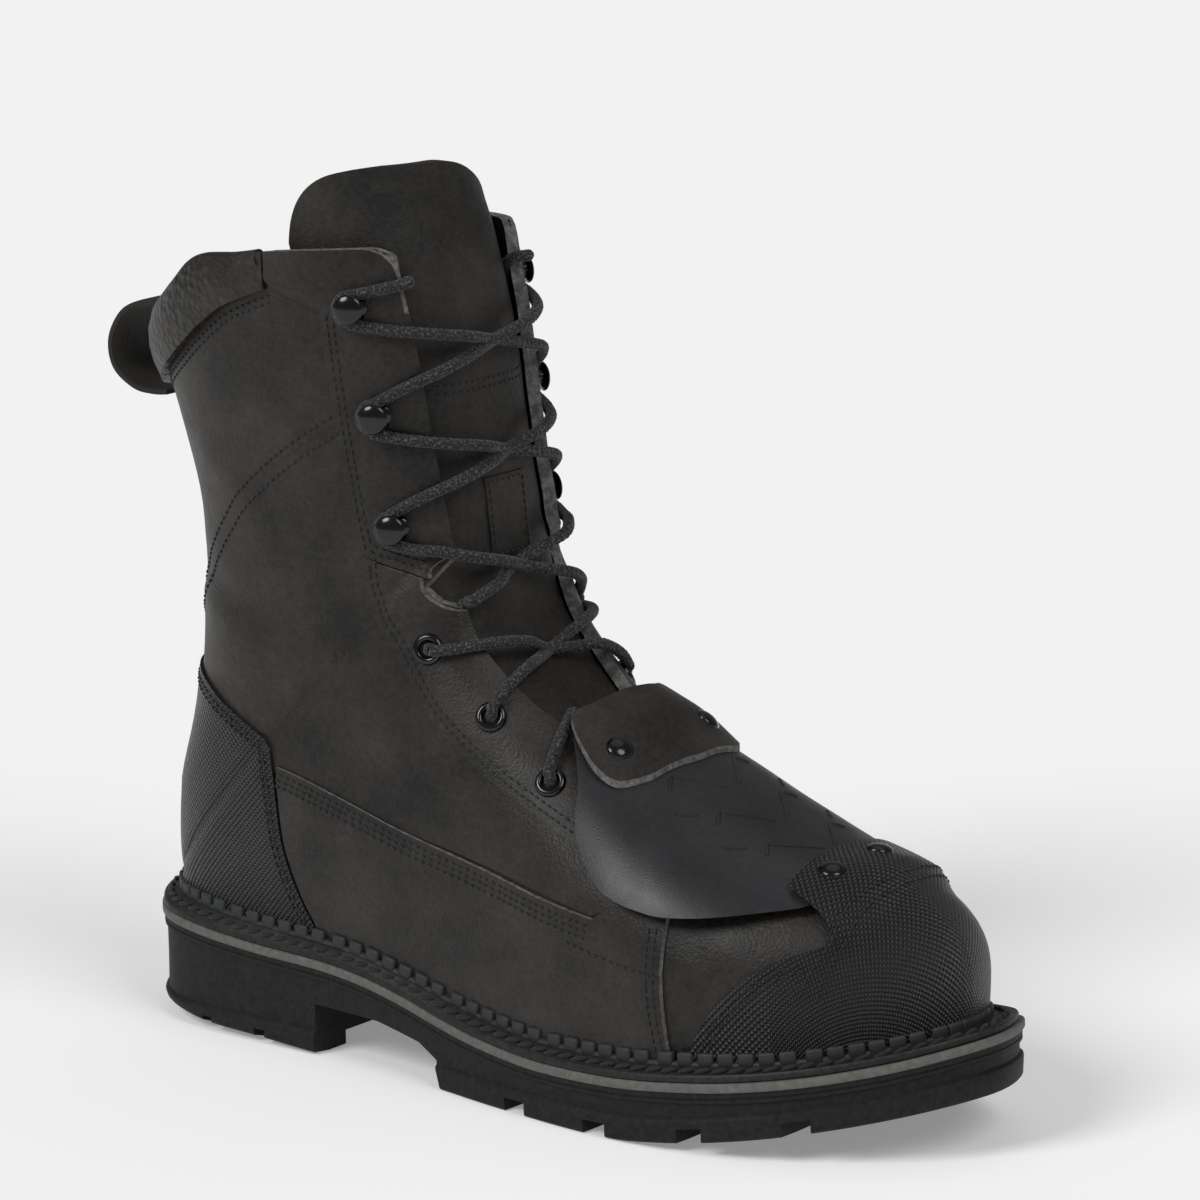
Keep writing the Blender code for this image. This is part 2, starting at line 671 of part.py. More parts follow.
def rim_stations(count):
    """Evenly spaced points on the sole's outline with their outward directions."""
    line = OUTLINE
    lengths = [0.0]
    for i in range(len(line)):
        lengths.append(lengths[-1] + (line[(i + 1) % len(line)] - line[i]).length)
    total = lengths[-1]
    stations = []
    i = 0
    for k in range(count):
        at = total * k / count
        while lengths[i + 1] < at:
            i += 1
        a, b = line[i], line[(i + 1) % len(line)]
        p = a.lerp(b, (at - lengths[i]) / (lengths[i + 1] - lengths[i]))
        along = (b - a).normalized()
        stations.append((p, Vector((along.y, -along.x))))
    return stations


def wall_at(tree, point, outward, z):
    """Where the upper's outside is over the rib's height, met from outside the sole's edge."""
    reach = []
    for height in (z, z - RIB_HEIGHT / 2, z - RIB_HEIGHT):
        start = Vector((*(point + outward * 20), height)) * MM
        hit = tree.ray_cast(start, Vector((*(-outward), 0)))[0]
        if hit is not None:
            reach.append((Vector((hit.x, hit.y)) / MM - point).dot(outward))
    return point + outward * max(reach)


def welt(tree):
    """The welt: a band with a flat side and a stitched slope up to the rib, open inside."""
    stations = rim_stations(56)
    bm = bmesh.new()
    rings = []
    for p, outward in stations:
        wall = wall_at(tree, p, outward, rib_top(p.x))
        edge = p - outward * smooth(WELT_INSET, p.x)
        slope = wall + outward * (RIB_GAP + RIB_THICK + 0.3)
        crease = wall + outward * WELT_CREASE
        inner = wall - outward * WELT_SHELF
        ring = [
            (edge, strip_top(edge.x) + SEAM),
            (edge, strip_top(edge.x) + WELT_EDGE),
            (slope, rib_foot(slope.x) - GAP),
            (crease, rib_foot(crease.x) - GAP),
            (crease, strip_top(crease.x) + WELT_EDGE - GAP),
            (inner, strip_top(inner.x) + WELT_EDGE - GAP),
            (inner, strip_top(inner.x) + SEAM),
        ]
        rings.append([bm.verts.new(Vector((q.x, q.y, h)) * MM) for q, h in ring])
    for k, ring in enumerate(rings):
        after = rings[(k + 1) % len(rings)]
        for i in range(len(ring)):
            j = (i + 1) % len(ring)
            bm.faces.new((ring[i], ring[j], after[j], after[i]))
    bmesh.ops.recalc_face_normals(bm, faces=bm.faces)
    return from_bmesh("welt", bm, material("welt_rubber", RUBBER, 0.6))


def storm_rib(tree):
    """The notched rib that stands on the welt against the upper: one cog and one notch a pitch."""
    outline_length = sum((OUTLINE[i - 1] - OUTLINE[i]).length for i in range(len(OUTLINE)))
    stations = rim_stations(round(outline_length / COG_PITCH) * 2)
    bm = bmesh.new()
    rings = []
    for k, (p, outward) in enumerate(stations):
        wall = wall_at(tree, p, outward, rib_top(p.x)) + outward * RIB_GAP
        rim = wall + outward * RIB_THICK
        rise = RIB_HEIGHT if k % 2 == 0 else COG_LOW
        corners = [(wall, 0), (wall, rise), (rim, rise), (rim, 0)]
        rings.append([bm.verts.new(Vector((q.x, q.y, rib_foot(q.x) + h)) * MM) for q, h in corners])
    for k, ring in enumerate(rings):
        after = rings[(k + 1) % len(rings)]
        for i in range(4):
            bm.faces.new((ring[i], ring[(i + 1) % 4], after[(i + 1) % 4], after[i]))
    bmesh.ops.recalc_face_normals(bm, faces=bm.faces)
    return from_bmesh("storm_rib", bm, material("welt_rubber", RUBBER, 0.6))


def insole():
    """The insole board inside the upper's foot."""
    outline = sole_outline()
    count = len(outline)
    bm = bmesh.new()
    rings = []
    for rise in (GAP + INSOLE_THICK, GAP):
        ring = []
        for i, p in enumerate(outline):
            along = outline[(i + 1) % count] - outline[i - 1]
            inward = Vector((-along.y, along.x)).normalized()
            q = p + inward * (smooth(INSETS, max(p.x, 0)) + WALL + 3.6)
            ring.append(bm.verts.new(Vector((q.x, q.y, strip_top(q.x) + rise)) * MM))
        rings.append(ring)
    for i in range(count):
        k = (i + 1) % count
        bm.faces.new((rings[0][i], rings[0][k], rings[1][k], rings[1][i]))
    for ring in rings:
        for i in range(count // 2):
            corners = [ring[i], ring[i + 1], ring[(count - i - 1) % count], ring[(count - i) % count]]
            kept = list(dict.fromkeys(corners))
            bm.faces.new(kept)
    bmesh.ops.recalc_face_normals(bm, faces=bm.faces)
    return from_bmesh("insole", bm, material("lining", LINING, 0.9))


# Upper and what is sewn on it


def overlay(name, outline, finish, surface=None, thick=OVERLAY, sides=(-90, 90), view="side"):
    """A pattern piece: a slice of a larger form, laid on the upper's own surface, inside an outline."""
    bm = surface or upper_surface(lambda p: OVERLAY_GAP)
    obj = thicken(from_bmesh(name, bm, finish), thick)
    low, high = sides
    return combine(obj, prism(name + "_pattern", outline, low, high, view), "INTERSECT")


def rim_line(x_from, x_to):
    """The collar's top line, seen from the side."""
    xs = [x for x, _ in RIM if min(x_from, x_to) < x < max(x_from, x_to)]
    if x_from > x_to:
        xs.reverse()
    return [(x, smooth(RIM, x)) for x in [x_from, *xs, x_to]]


def above_rib(outline_top, x_from, x_to, steps=8):
    """Closes a pattern outline along the top of the rib."""
    xs = [x_from + (x_to - x_from) * k / steps for k in range(steps + 1)]
    return outline_top + [(x, rib_top(x) + 2 * GAP) for x in xs]


def cap_offset(p):
    """The toe cap lies on the upper, and its tab rises over the end of the guard."""
    tab = (1 - step(233, 245, p.x)) * step(64, 73, p.z)
    return OVERLAY_GAP + (TAB_RISE - OVERLAY_GAP) * tab


def pieces_of_upper():
    leather = material("oiled_leather", LEATHER, 0.6)
    ballistic = material("ballistic_fabric", BALLISTIC, 0.5)
    upper = thicken(from_bmesh("upper", upper_surface(), leather), WALL, -1.0)
    combine(upper, prism("above_rim", rim_line(-80, 120) + [(120, 330), (-80, 330)], -99, 99), "DIFFERENCE")
    combine(upper, prism("throat_notch", THROAT_NOTCH, -98, 98), "DIFFERENCE")

    cap = above_rib(CAP_EDGE[1:] + CAP_NOTCH + CAP_TAB[:-1], 300, 194)
    overlay("toe_cap", cap, ballistic, upper_surface(cap_offset), CAP_WALL)
    counter = above_rib(COUNTER_EDGE[1:] + COUNTER_FRONT, 41.8, -70)
    overlay("heel_counter", counter, ballistic, thick=CAP_WALL)
    cover = material("guard_cover", PLATE, 0.45)
    overlay("met_guard", GUARD_REAR + GUARD_EDGE + GUARD_FRONT, cover, guard_surface(), GUARD_THICK)
    half = FLAP_FRONT + FLAP_REAR
    flap = half + [(x, -y) for x, y in reversed(half[1:-1])]
    raised = guard_surface(lambda p: GUARD_THICK + GAP + FLAP_RISE * (1 - step(140, 160, p.x)))
    overlay("guard_flap", flap, leather, raised, FLAP_THICK, sides=(85, 160), view="above")
    overlay("collar_pad", COLLAR_LINE + rim_line(33.7, -80), material("pebbled_leather", LEATHER, 0.55), thick=COLLAR_PAD)
    for name, side in SIDES.items():
        sides = (-90, -3) if side == LATERAL else (3, 90)
        overlay(f"facing_{name}", FACING_BACK + FACING_FOOT + rim_line(120, 34.2), leather, sides=sides)
        overlay(f"eyestay_{name}", EYESTAY_BACK + EYESTAY_FRONT + EYESTAY_HEAD, leather, sides=sides)
        quarter = above_rib(QUARTER_TOP + QUARTER_FRONT[:-1], 188.4, 43) + QUARTER_REAR
        overlay(f"quarter_{name}", quarter, leather, sides=sides)
    return upper


def tongue():
    """A wide tongue that lies inside the throat and stands above the collar."""
    rows = SECTIONS[7:20] + TONGUE_SECTIONS
    spans = [0.3, 0.42, 0.5, 0.56, 0.6, 0.64, 0.67, 0.68, 0.69, 0.7, 0.72, 0.74, 0.77, 0.82, 0.86, 0.9, 0.9, 0.75, 0.46]
    inside = WALL + TONGUE_GAP
    grids = []
    for side in SIDES.values():
        grids.append([half_section(row, side, 4, start=0.0, span=span) for row, span in zip(rows, spans)])
    bm = grid_mesh(grids, "tongue")
    face_outwards(bm, Vector((1, 0, 0.2)))
    bm.normal_update()
    for v, n in [(v, v.normal.copy()) for v in bm.verts]:
        v.co -= n * inside * MM
    return thicken(from_bmesh("tongue", bm, material("tongue_leather", LEATHER, 0.6)), TONGUE_THICK, -1.0)


def pull_loop():
    """The webbing loop behind the collar."""
    route = [(-34, 225.2), (-39, 227), (-46, 226.2), (-55, 222), (-60.5, 213), (-59, 204), (-51, 198.5), (-43, 197.5), (-37, 198)]
    half = 11.0
    bm = bmesh.new()
    line = [Vector((x, 0, z)) for x, z in catmull([Vector(p) for p in route], 2)]
    rows = [[bm.verts.new((p + Vector((0, y, 0))) * MM) for y in (-half, half)] for p in line]
    for a, b in zip(rows, rows[1:]):
        bm.faces.new((a[0], a[1], b[1], b[0]))
    return thicken(from_bmesh("pull_loop", bm, material("webbing", WEBBING, 0.9)), 1.6, 0.0)


# Hooks, eyelets, rivets and laces


def on_surface(tree, spot, side):
    """The point and outward normal of a surface near a spot, met from the front and above."""
    x, y, z = spot
    aim = Vector((0.8, 0, 0.6))
    hit, normal, _, _ = tree.ray_cast((Vector((x, side * y, z)) + aim * 60) * MM, -aim)
    if normal.dot(aim) < 0:
        normal = -normal
    return hit / MM, normal


def hook(name, finish):
    profile = [
        (0, HOOK_STAND),
        (HOOK_HEAD, HOOK_STAND - 0.9),
        (HOOK_HEAD, HOOK_STAND - 1.4),
        (HOOK_NECK, HOOK_STAND - 1.8),
        (HOOK_NECK, 0.7),
        (HOOK_HEAD * 0.9, 0),
        (0, 0),
    ]
    return turned(name, profile, finish)


def eyelet(name, finish):
    profile = [
        (EYELET_BORE, 1.1),
        (EYELET_FLANGE - 0.9, 1.1),
        (EYELET_FLANGE, 0),
        (EYELET_BARREL, 0),
        (EYELET_BARREL, -3.6),
        (EYELET_BORE, -3.6),
    ]
    return turned(name, profile, finish)


def rivet(name, finish):
    profile = [(0, 1.5), (RIVET_R * 0.6, 1.15), (RIVET_R, 0.2), (RIVET_R, 0), (0, 0)]
    return turned(name, profile, finish, steps=12)


def fittings(outer, cap_tree, flap_tree):
    """Places the hardware, and returns where the lace turns at each hook and eyelet."""
    metal = material("black_metal", METAL, 0.35, 0.8)
    turns = {}
    holes = []
    for name, side in SIDES.items():
        for k, spot in enumerate(HOOKS, 1):
            point, normal = on_surface(outer, spot, side)
            seat(hook(f"hook_{name}_{k}", metal), point + normal * SEAT_GAP, normal)
            turns["hook", side, k] = (point, normal)
        for k, spot in enumerate(EYELETS, 1):
            point, normal = on_surface(outer, spot, side)
            seat(eyelet(f"eyelet_{name}_{k}", metal), point + normal * SEAT_GAP, normal)
            turns["eyelet", side, k] = (point, normal)
            holes.append((point, normal))
    for label, tree, spots in (("flap", flap_tree, FLAP_RIVETS), ("cap", cap_tree, CAP_RIVETS)):
        for name, (x, y) in zip(SIDES, spots):
            hit, normal, _, _ = tree.ray_cast(Vector((x, y, 200)) * MM, Vector((0, 0, -1)))
            normal = normal if normal.z > 0 else -normal
            seat(rivet(f"rivet_{label}_{name}", metal), hit / MM + normal * SEAM, normal)
    return turns, holes


def eyelet_holes(holes):
    """Round cutters through the eyestay and upper for the eyelets' barrels."""
    cutter = None
    for k, (point, normal) in enumerate(holes):
        bm = bmesh.new()
        bmesh.ops.create_cone(
            bm, cap_ends=True, segments=10, radius1=3.5 * MM, radius2=3.5 * MM, depth=16 * MM
        )
        obj = from_bmesh(f"eyelet_hole_{k}", bm, None, CUTTERS)
        seat(obj, point, normal)
        obj.hide_render = True
        obj.display_type = "WIRE"
        cutter = obj
        for target in ("upper", "eyestay_lateral" if point.y < 0 else "eyestay_medial"):
            combine(bpy.data.objects[target], cutter, "DIFFERENCE")


def around(turn, coming, going):
    """Points of a lace that goes round a hook's neck, on the side away from both strands."""
    point, normal = turn
    centre = point + normal * HOOK_LACE
    toward = (coming - centre).normalized() + (going - centre).normalized()
    back = -(toward - normal * toward.dot(normal)).normalized()
    first = normal.cross(back).normalized()
    if first.dot(coming - centre) < first.dot(going - centre):
        first = -first
    turns = [math.radians(a) for a in (-90, -45, 0, 45, 90)]
    return [centre + (back * math.cos(a) - first * math.sin(a)) * HOOK_TURN for a in turns]


def laid(skin, start, end, steps=8):
    """The points between two ends of a strand, laid over the facings and the tongue."""
    points = []
    for k in range(1, steps):
        p = start.lerp(end, (1 - math.cos(math.pi * k / steps)) / 2)
        lean = math.radians(smooth(LACE_LEAN, p.z))
        aim = Vector((math.cos(lean), p.y / 45, math.sin(lean))).normalized()
        hit, normal, _, _ = skin.ray_cast((p + aim * 60) * MM, -aim)
        normal = normal if normal.dot(aim) > 0 else -normal
        edge = smooth(THROAT_EDGE, p.z)
        lift = TONGUE_LIFT + (FACING_LIFT - TONGUE_LIFT) * step(edge - 21, edge - 9, abs(hit.y) / MM)
        points.append(hit / MM + normal * lift)
    return points


def lace_route(skin, turns, stops):
    """The points of a lace past its stops: a hook or eyelet as (kind, side, number), or a point of its own."""
    places = []
    for stop in stops:
        if stop in turns:
            point, normal = turns[stop]
            places.append(point + normal * (HOOK_LACE if stop[0] == "hook" else EYELET_LACE))
        else:
            places.append(Vector(stop))
    route = []
    for k, stop in enumerate(stops):
        if stop in turns and stop[0] == "hook":
            bend = around(turns[stop], places[k - 1], places[k + 1])
        elif stop in turns:
            normal = turns[stop][1]
            toward = (places[k - 1] if k else places[1]) - places[k]
            bend = [places[k] + (toward - normal * toward.dot(normal)).normalized() * EYELET_CLEAR]
        else:
            bend = [places[k]]
        if route:
            route += laid(skin, route[-1], bend[0])
        route += bend
    return route


def lace(turns):
    """The laces between the hooks and eyelets, each joined where it crosses; none goes through an eyelet."""
    cord = material("lace_cord", CORD, 0.85)
    closed = upper_surface(closed=True)
    skin = BVHTree.FromBMesh(closed)
    closed.free()
    x, y, z = LACE_TUCK
    near, far = LATERAL, MEDIAL
    laces = {
        "lace_hooks": [
            [(x, -y, z), ("hook", near, 1), ("hook", far, 2), ("hook", near, 3), ("eyelet", far, 1)],
            [(x, y, z), ("hook", far, 1), ("hook", near, 2), ("hook", far, 3), UNDER_FACING],
        ],
        "lace_eyelets": [
            [("eyelet", near, 1), ("eyelet", far, 2)],
            [("eyelet", far, 1), ("eyelet", near, 2)],
        ],
        "lace_end": [[("eyelet", near, 3), UNDER_FLAP]],
    }
    for name, runs in laces.items():
        whole = None
        for k, stops in enumerate(runs):
            route = lace_route(skin, turns, stops)
            strand = as_mesh(cord_through(f"{name}_run_{k}", route, LACE_R, cord), CUTTERS if whole else BOOT)
            if whole:
                strand.hide_render = True
                strand.display_type = "WIRE"
                combine(whole, strand, "UNION")
            else:
                strand.name = name
                whole = strand


def tree_of(obj):
    bpy.context.view_layer.update()
    graph = bpy.context.evaluated_depsgraph_get()
    return BVHTree.FromObject(obj, graph)


def main():
    for obj in list(bpy.data.objects):
        bpy.data.objects.remove(obj)
    bpy.context.scene.collection.children.link(BOOT)
    bpy.context.scene.collection.children.link(CUTTERS)
    pieces_of_upper()
    tongue()
    pull_loop()
    skin = upper_surface()
    skin_tree = BVHTree.FromBMesh(skin)
    skin.free()
    outer = upper_surface(lambda p: OVERLAY_GAP + OVERLAY)
    outer_tree = BVHTree.FromBMesh(outer)
    outer.free()
    outsole()
    midsole()
    welt(skin_tree)
    storm_rib(skin_tree)
    insole()
    cap_tree = tree_of(bpy.data.objects["toe_cap"])
    flap_tree = tree_of(bpy.data.objects["guard_flap"])
    turns, holes = fittings(outer_tree, cap_tree, flap_tree)
    eyelet_holes(holes)
    lace(turns)


main()
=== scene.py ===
"""Metatarsal guard boot, right foot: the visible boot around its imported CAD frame.

Laid out as a Blender add-on and run as a script. Sizes are in millimetres in the tables and in
metres in meshes. +X points to the toe, +Y to the inner (medial) side and +Z up, with the floor
at z = 0.
"""

import math
from collections import namedtuple

import bmesh
import bpy
from mathutils import Matrix, Vector
from mathutils.bvhtree import BVHTree


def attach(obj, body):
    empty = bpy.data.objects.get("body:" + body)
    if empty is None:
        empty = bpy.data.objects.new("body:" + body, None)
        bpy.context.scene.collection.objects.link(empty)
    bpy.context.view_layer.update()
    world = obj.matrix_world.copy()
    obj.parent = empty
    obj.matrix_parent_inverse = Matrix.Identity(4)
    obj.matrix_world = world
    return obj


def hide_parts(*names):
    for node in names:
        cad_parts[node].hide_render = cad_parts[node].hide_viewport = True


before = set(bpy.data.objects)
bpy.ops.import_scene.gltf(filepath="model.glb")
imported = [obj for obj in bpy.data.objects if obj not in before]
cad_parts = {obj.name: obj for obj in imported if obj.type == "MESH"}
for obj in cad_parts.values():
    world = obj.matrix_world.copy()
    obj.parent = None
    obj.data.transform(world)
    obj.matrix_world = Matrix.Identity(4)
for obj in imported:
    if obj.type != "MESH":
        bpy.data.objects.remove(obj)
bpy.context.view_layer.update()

bl_info = {
    "name": "Metatarsal guard boot",
    "version": (1, 0, 0),
    "blender": (4, 5, 0),
    "location": "View3D > Sidebar > Boot",
    "description": "Builds a laced work boot with an instep guard around its packed frame",
    "category": "Object",
}

MM = 0.001

# Sole
HEEL_BACK = -42.2
TOE_TIP = 274.5
TOE_TIP_Y = 3.0
STRIP_THICK = 3.0
WELT_EDGE = 2.6
FEATHER_RISE = WELT_EDGE + 0.3
LUG_DEPTH = 4.5
BREAST_X = 43.0
ARCH_FRONT_X = 97.0
ARCH_Z = 16.5
RIB_HEIGHT = 4.3
RIB_THICK = 2.3
RIB_GAP = 0.35
COG_PITCH = 7.2
COG_LENGTH = 5.2
COG_LOW = 1.0
COG_BEVEL = 0.75
WELT_DEPTH = 3.4
WELT_FOOT = RIB_GAP + RIB_THICK + 0.3

# Upper
WALL = 2.4
OVERLAY = 1.6
OVERLAY_GAP = 0.05
CAP_WALL = 1.8
GUARD_THICK = 2.6
TAB_RISE = 4.5
FLAP_THICK = 1.8
FLAP_RISE = 3.0
COLLAR_PAD = 3.0
TONGUE_THICK = 4.0
TONGUE_GAP = 1.0
ROW_SPAN = 6
ACROSS = 44

# Fittings
EYELET_BORE = 2.5
HOOK_NECK = 2.2
HOOK_LACE = 3.0
LACE_R = 1.9
LACE_STEP = 0.55
BRAID_PITCH = 4.6
RIVET_R = 4.2
Edge = namedtuple("Edge", "x lateral medial")
SOLE_EDGE = [
    Edge(-36.8, 18.5, 18.0),
    Edge(-23.5, 33.0, 32.0),
    Edge(-4.0, 39.0, 38.0),
    Edge(20.0, 40.5, 38.8),
    Edge(49.0, 41.0, 37.5),
    Edge(84.0, 44.0, 38.0),
    Edge(124.0, 51.0, 46.5),
    Edge(164.0, 55.5, 54.5),
    Edge(199.0, 54.0, 54.5),
    Edge(226.0, 47.5, 50.0),
    Edge(249.0, 35.0, 40.5),
    Edge(266.0, 18.0, 27.0),
]
Height = namedtuple("Height", "x z")
STRIP_TOP = [
    Height(-40.3, 35.8),
    Height(-10.0, 34.2),
    Height(20.0, 32.2),
    Height(48.0, 31.0),
    Height(64.0, 29.4),
    Height(81.0, 26.4),
    Height(98.0, 23.0),
    Height(117.0, 20.3),
    Height(142.0, 18.6),
    Height(170.0, 19.4),
    Height(200.0, 22.2),
    Height(230.0, 26.6),
    Height(255.0, 31.8),
    Height(274.5, 37.0),
]
GROUND = [
    Height(-60.0, 0.0),
    Height(150.0, 0.0),
    Height(172.0, 0.2),
    Height(190.0, 2.0),
    Height(215.0, 6.0),
    Height(240.0, 11.0),
    Height(262.0, 16.0),
    Height(290.0, 23.0),
]

EDGE_RISE = [
    Height(-42.0, 6.5),
    Height(-20.0, 4.4),
    Height(-4.0, 2.8),
    Height(20.0, 2.0),
    Height(44.0, 0.8),
    Height(100.0, 0.2),
    Height(200.0, 0.2),
]

Section = namedtuple(
    "Section",
    "swing front_x front_z end_x end_z swell_lateral swell_medial widest front_power back_power bow throat",
)
ON_FEATHER = None
SECTIONS = [
    Section(90, 221, 79.8, 221, ON_FEATHER, 0.8, 0.8, 0.68, 2.1, 2.0, 0, 0),
    Section(60, 221, 79.8, 221, ON_FEATHER, 0.8, 0.8, 0.68, 2.1, 2.0, 0, 0),
    Section(30, 221, 79.8, 221, ON_FEATHER, 1.0, 1.0, 0.68, 2.1, 2.0, 0, 0),
    Section(0, 219, 80.4, 221, ON_FEATHER, 1.4, 1.4, 0.67, 2.2, 2.0, 0, 0),
    Section(0, 203, 83.6, 199, ON_FEATHER, 2.0, 1.8, 0.64, 2.2, 2.0, 0, 0),
    Section(0, 184, 90.6, 176, ON_FEATHER, 2.4, 2.0, 0.64, 2.2, 2.0, 0, 0),
    Section(0, 164, 98.5, 151, ON_FEATHER, 2.8, 2.4, 0.63, 2.3, 2.0, 0, 0),
    Section(0, 147, 104.5, 125, ON_FEATHER, 3.0, 5.4, 0.62, 2.6, 2.0, 0, 11.0),
    Section(0, 133, 111.5, 99, ON_FEATHER, 3.6, 8.4, 0.60, 3.0, 2.0, 0, 17.0),
    Section(0, 120.5, 120.5, 72, ON_FEATHER, 6.0, 11.0, 0.58, 3.3, 2.0, 0, 21.5),
    Section(0, 108.5, 132.5, 46, ON_FEATHER, 7.4, 10.8, 0.56, 3.4, 2.0, 0, 24.0),
    Section(0, 100.5, 144.0, 20, ON_FEATHER, 8.0, 9.6, 0.54, 3.4, 2.0, 0, 25.0),
    Section(0, 97.6, 156.0, -6, ON_FEATHER, 9.6, 10.6, 0.52, 3.3, 2.0, 0, 24.8),
    Section(0, 96.0, 168.0, -24, ON_FEATHER, 20.0, 20.4, 0.50, 3.1, 2.1, 0, 24.8),
    Section(0, 95.4, 174.0, -29.5, ON_FEATHER, 25.8, 26.0, 0.50, 3.0, 2.1, 0, 24.9),
    Section(0, 94.8, 180.0, -32.4, 38.4, 41.0, 41.0, 0.49, 2.9, 2.2, 0, 25.0),
    Section(0, 93.2, 191.0, -33.0, 60, 40.6, 40.6, 0.49, 2.8, 2.2, 0, 25.2),
    Section(0, 91.6, 201.0, -23.4, 93, 40.5, 40.5, 0.49, 2.7, 2.2, 0, 25.6),
    Section(0, 90.0, 211.0, -19.4, 127, 40.8, 40.8, 0.49, 2.6, 2.2, 0, 26.0),
    Section(0, 88.0, 222.0, -19.2, 158, 41.4, 41.4, 0.49, 2.6, 2.2, 1, 26.6),
    Section(0, 85.6, 235.0, -26.2, 186, 42.4, 42.4, 0.49, 2.6, 2.2, 4, 27.2),
    Section(0, 83.2, 248.0, -34.2, 213, 43.6, 43.6, 0.50, 2.5, 2.2, 7, 27.8),
    Section(0, 80.4, 263.0, -35.8, 240, 44.4, 44.4, 0.50, 2.5, 2.2, 8, 28.2),
]
GUARD_SECTIONS = [
    Section(0, 234, 78.2, 234, 45, 36, 39, 1, 2.2, 2, 0, 0),
    Section(0, 221, 80.9, 221, 43, 41.5, 43.5, 1, 2.2, 2, 0, 0),
    Section(0, 212, 83.3, 212, 44, 45.5, 47, 1, 2.2, 2, 0, 0),
    Section(0, 203, 85.9, 203, 45, 50, 51, 1, 2.2, 2, 0, 0),
    Section(0, 184, 93.4, 184, 46, 54, 53, 1, 2.2, 2, 0, 0),
    Section(0, 168, 100.9, 168, 47, 54.5, 53, 1, 2.2, 2, 0, 0),
    Section(0, 152, 108.7, 152, 48, 52.5, 51, 1, 2.2, 2, 0, 0),
    Section(0, 144, 112.5, 144, 48, 51, 50, 1, 2.2, 2, 0, 0),
    Section(0, 130, 118.5, 130, 48, 50, 49, 1, 2.2, 2, 0, 0),
]
TONGUE_SECTIONS = [
    Section(0, 85.6, 235.0, -26.2, 186, 41.6, 41.6, 0.50, 2.6, 2.2, 4, 0),
    Section(0, 82.8, 247.0, -34.2, 213, 40.8, 40.8, 0.50, 2.6, 2.2, 7, 0),
    Section(0, 79.6, 258.0, -35.5, 240, 40.2, 40.2, 0.50, 2.6, 2.2, 6, 0),
    Section(0, 76.4, 266.0, -34.5, 258, 39.6, 39.6, 0.50, 2.6, 2.2, 4, 0),
    Section(0, 73.8, 274.5, -33.0, 271, 39.0, 39.0, 0.50, 2.6, 2.2, 2, 0),
    Section(0, 71.4, 283.0, -32.0, 285, 38.6, 38.6, 0.50, 2.6, 2.2, 1, 0),
]
INSETS = [
    Height(-33.0, 17.6),
    Height(-29.5, 13.1),
    Height(-24.0, 10.5),
    Height(-20.0, 9.0),
    Height(0.0, 7.6),
    Height(60.0, 7.0),
    Height(125.0, 8.0),
    Height(165.0, 8.6),
    Height(215.0, 10.6),
    Height(274.0, 12.4),
]
RIB_TOP = [
    Height(-42.0, 9.8),
    Height(60.0, 9.4),
    Height(120.0, 8.8),
    Height(170.0, 8.4),
    Height(230.0, 7.4),
    Height(274.0, 6.6),
]
WELT_INSET = [
    Height(-42.0, 0.6),
    Height(180.0, 0.6),
    Height(250.0, 1.6),
    Height(274.0, 2.0),
]
RIM = [
    Height(-60.0, 222.0),
    Height(-36.0, 223.5),
    Height(-28.0, 226.5),
    Height(-14.0, 235.0),
    Height(-3.0, 243.2),
    Height(4.0, 248.9),
    Height(10.0, 251.3),
    Height(24.0, 253.0),
    Height(34.5, 255.1),
    Height(60.0, 257.3),
    Height(100.0, 258.6),
]

LATERAL, MEDIAL = -1, 1
SIDES = {"lateral": LATERAL, "medial": MEDIAL}

# Pattern edges, seen from the side: x forward, z up
CAP_EDGE = [
    (190.5, 24), (196.4, 31.2), (200.4, 38.2), (206.8, 47.6), (213.8, 54.2), (220.4, 59.1), (227.2, 62.2),
]
CAP_NOTCH = [(232.4, 64.2), (234.0, 66.5), (233.4, 70.0), (230.9, 73.2), (228.0, 75.6), (224.6, 77.5)]
CAP_TAB = [(219.5, 79.8), (217.8, 81.4), (218.2, 86), (219, 110), (300, 110), (300, 22)]
COUNTER_EDGE = [(-70, 20), (-70, 117.5), (-22, 117), (-4, 113.6), (10, 108.4), (28, 100.2)]
COUNTER_FRONT = [(30.6, 98), (30.6, 88), (31.2, 77), (33, 65), (38.3, 49.6), (41.6, 42.4)]
GUARD_REAR = [
    (134, 130), (134, 116), (135.2, 113.3), (140.7, 107.5), (146, 100.4), (149.3, 92.8), (154.6, 85.3),
]
GUARD_EDGE = [
    (160.8, 79.3), (165.6, 75.7), (172.5, 73), (180.7, 71.4), (187.3, 70.7), (198.9, 71.2), (213.9, 73),
]
GUARD_FRONT = [(223.5, 74.5), (226.5, 76), (227.5, 84), (224, 100), (200, 130)]
FACING_BACK = [(34.2, 250), (35.9, 244.8), (53.4, 238), (56.9, 211.1), (61.1, 183.3), (64.9, 164.8)]
FACING_FOOT = [(66.3, 163.6), (69.5, 162.1), (78.6, 159.7), (87.1, 157.5), (91.1, 164.2), (130, 190)]
EYESTAY_BACK = [
    (66, 162.5), (67.5, 152.7), (75.5, 138.1), (92.7, 115.4), (119.5, 97.3), (151.4, 83.9), (160, 80.5),
]
EYESTAY_FRONT = [(168, 90), (178, 118), (112, 147.4), (95.5, 147.4), (88.8, 150.2), (85.4, 154)]
EYESTAY_HEAD = [(84.8, 157.4), (78.5, 159), (69.4, 161.4), (67.2, 162.6)]
THROAT_NOTCH = [
    (85.2, 154.2), (87.2, 157.2), (91.5, 164), (115, 164), (115, 147.3), (95.5, 147.3), (88.8, 150.2),
]
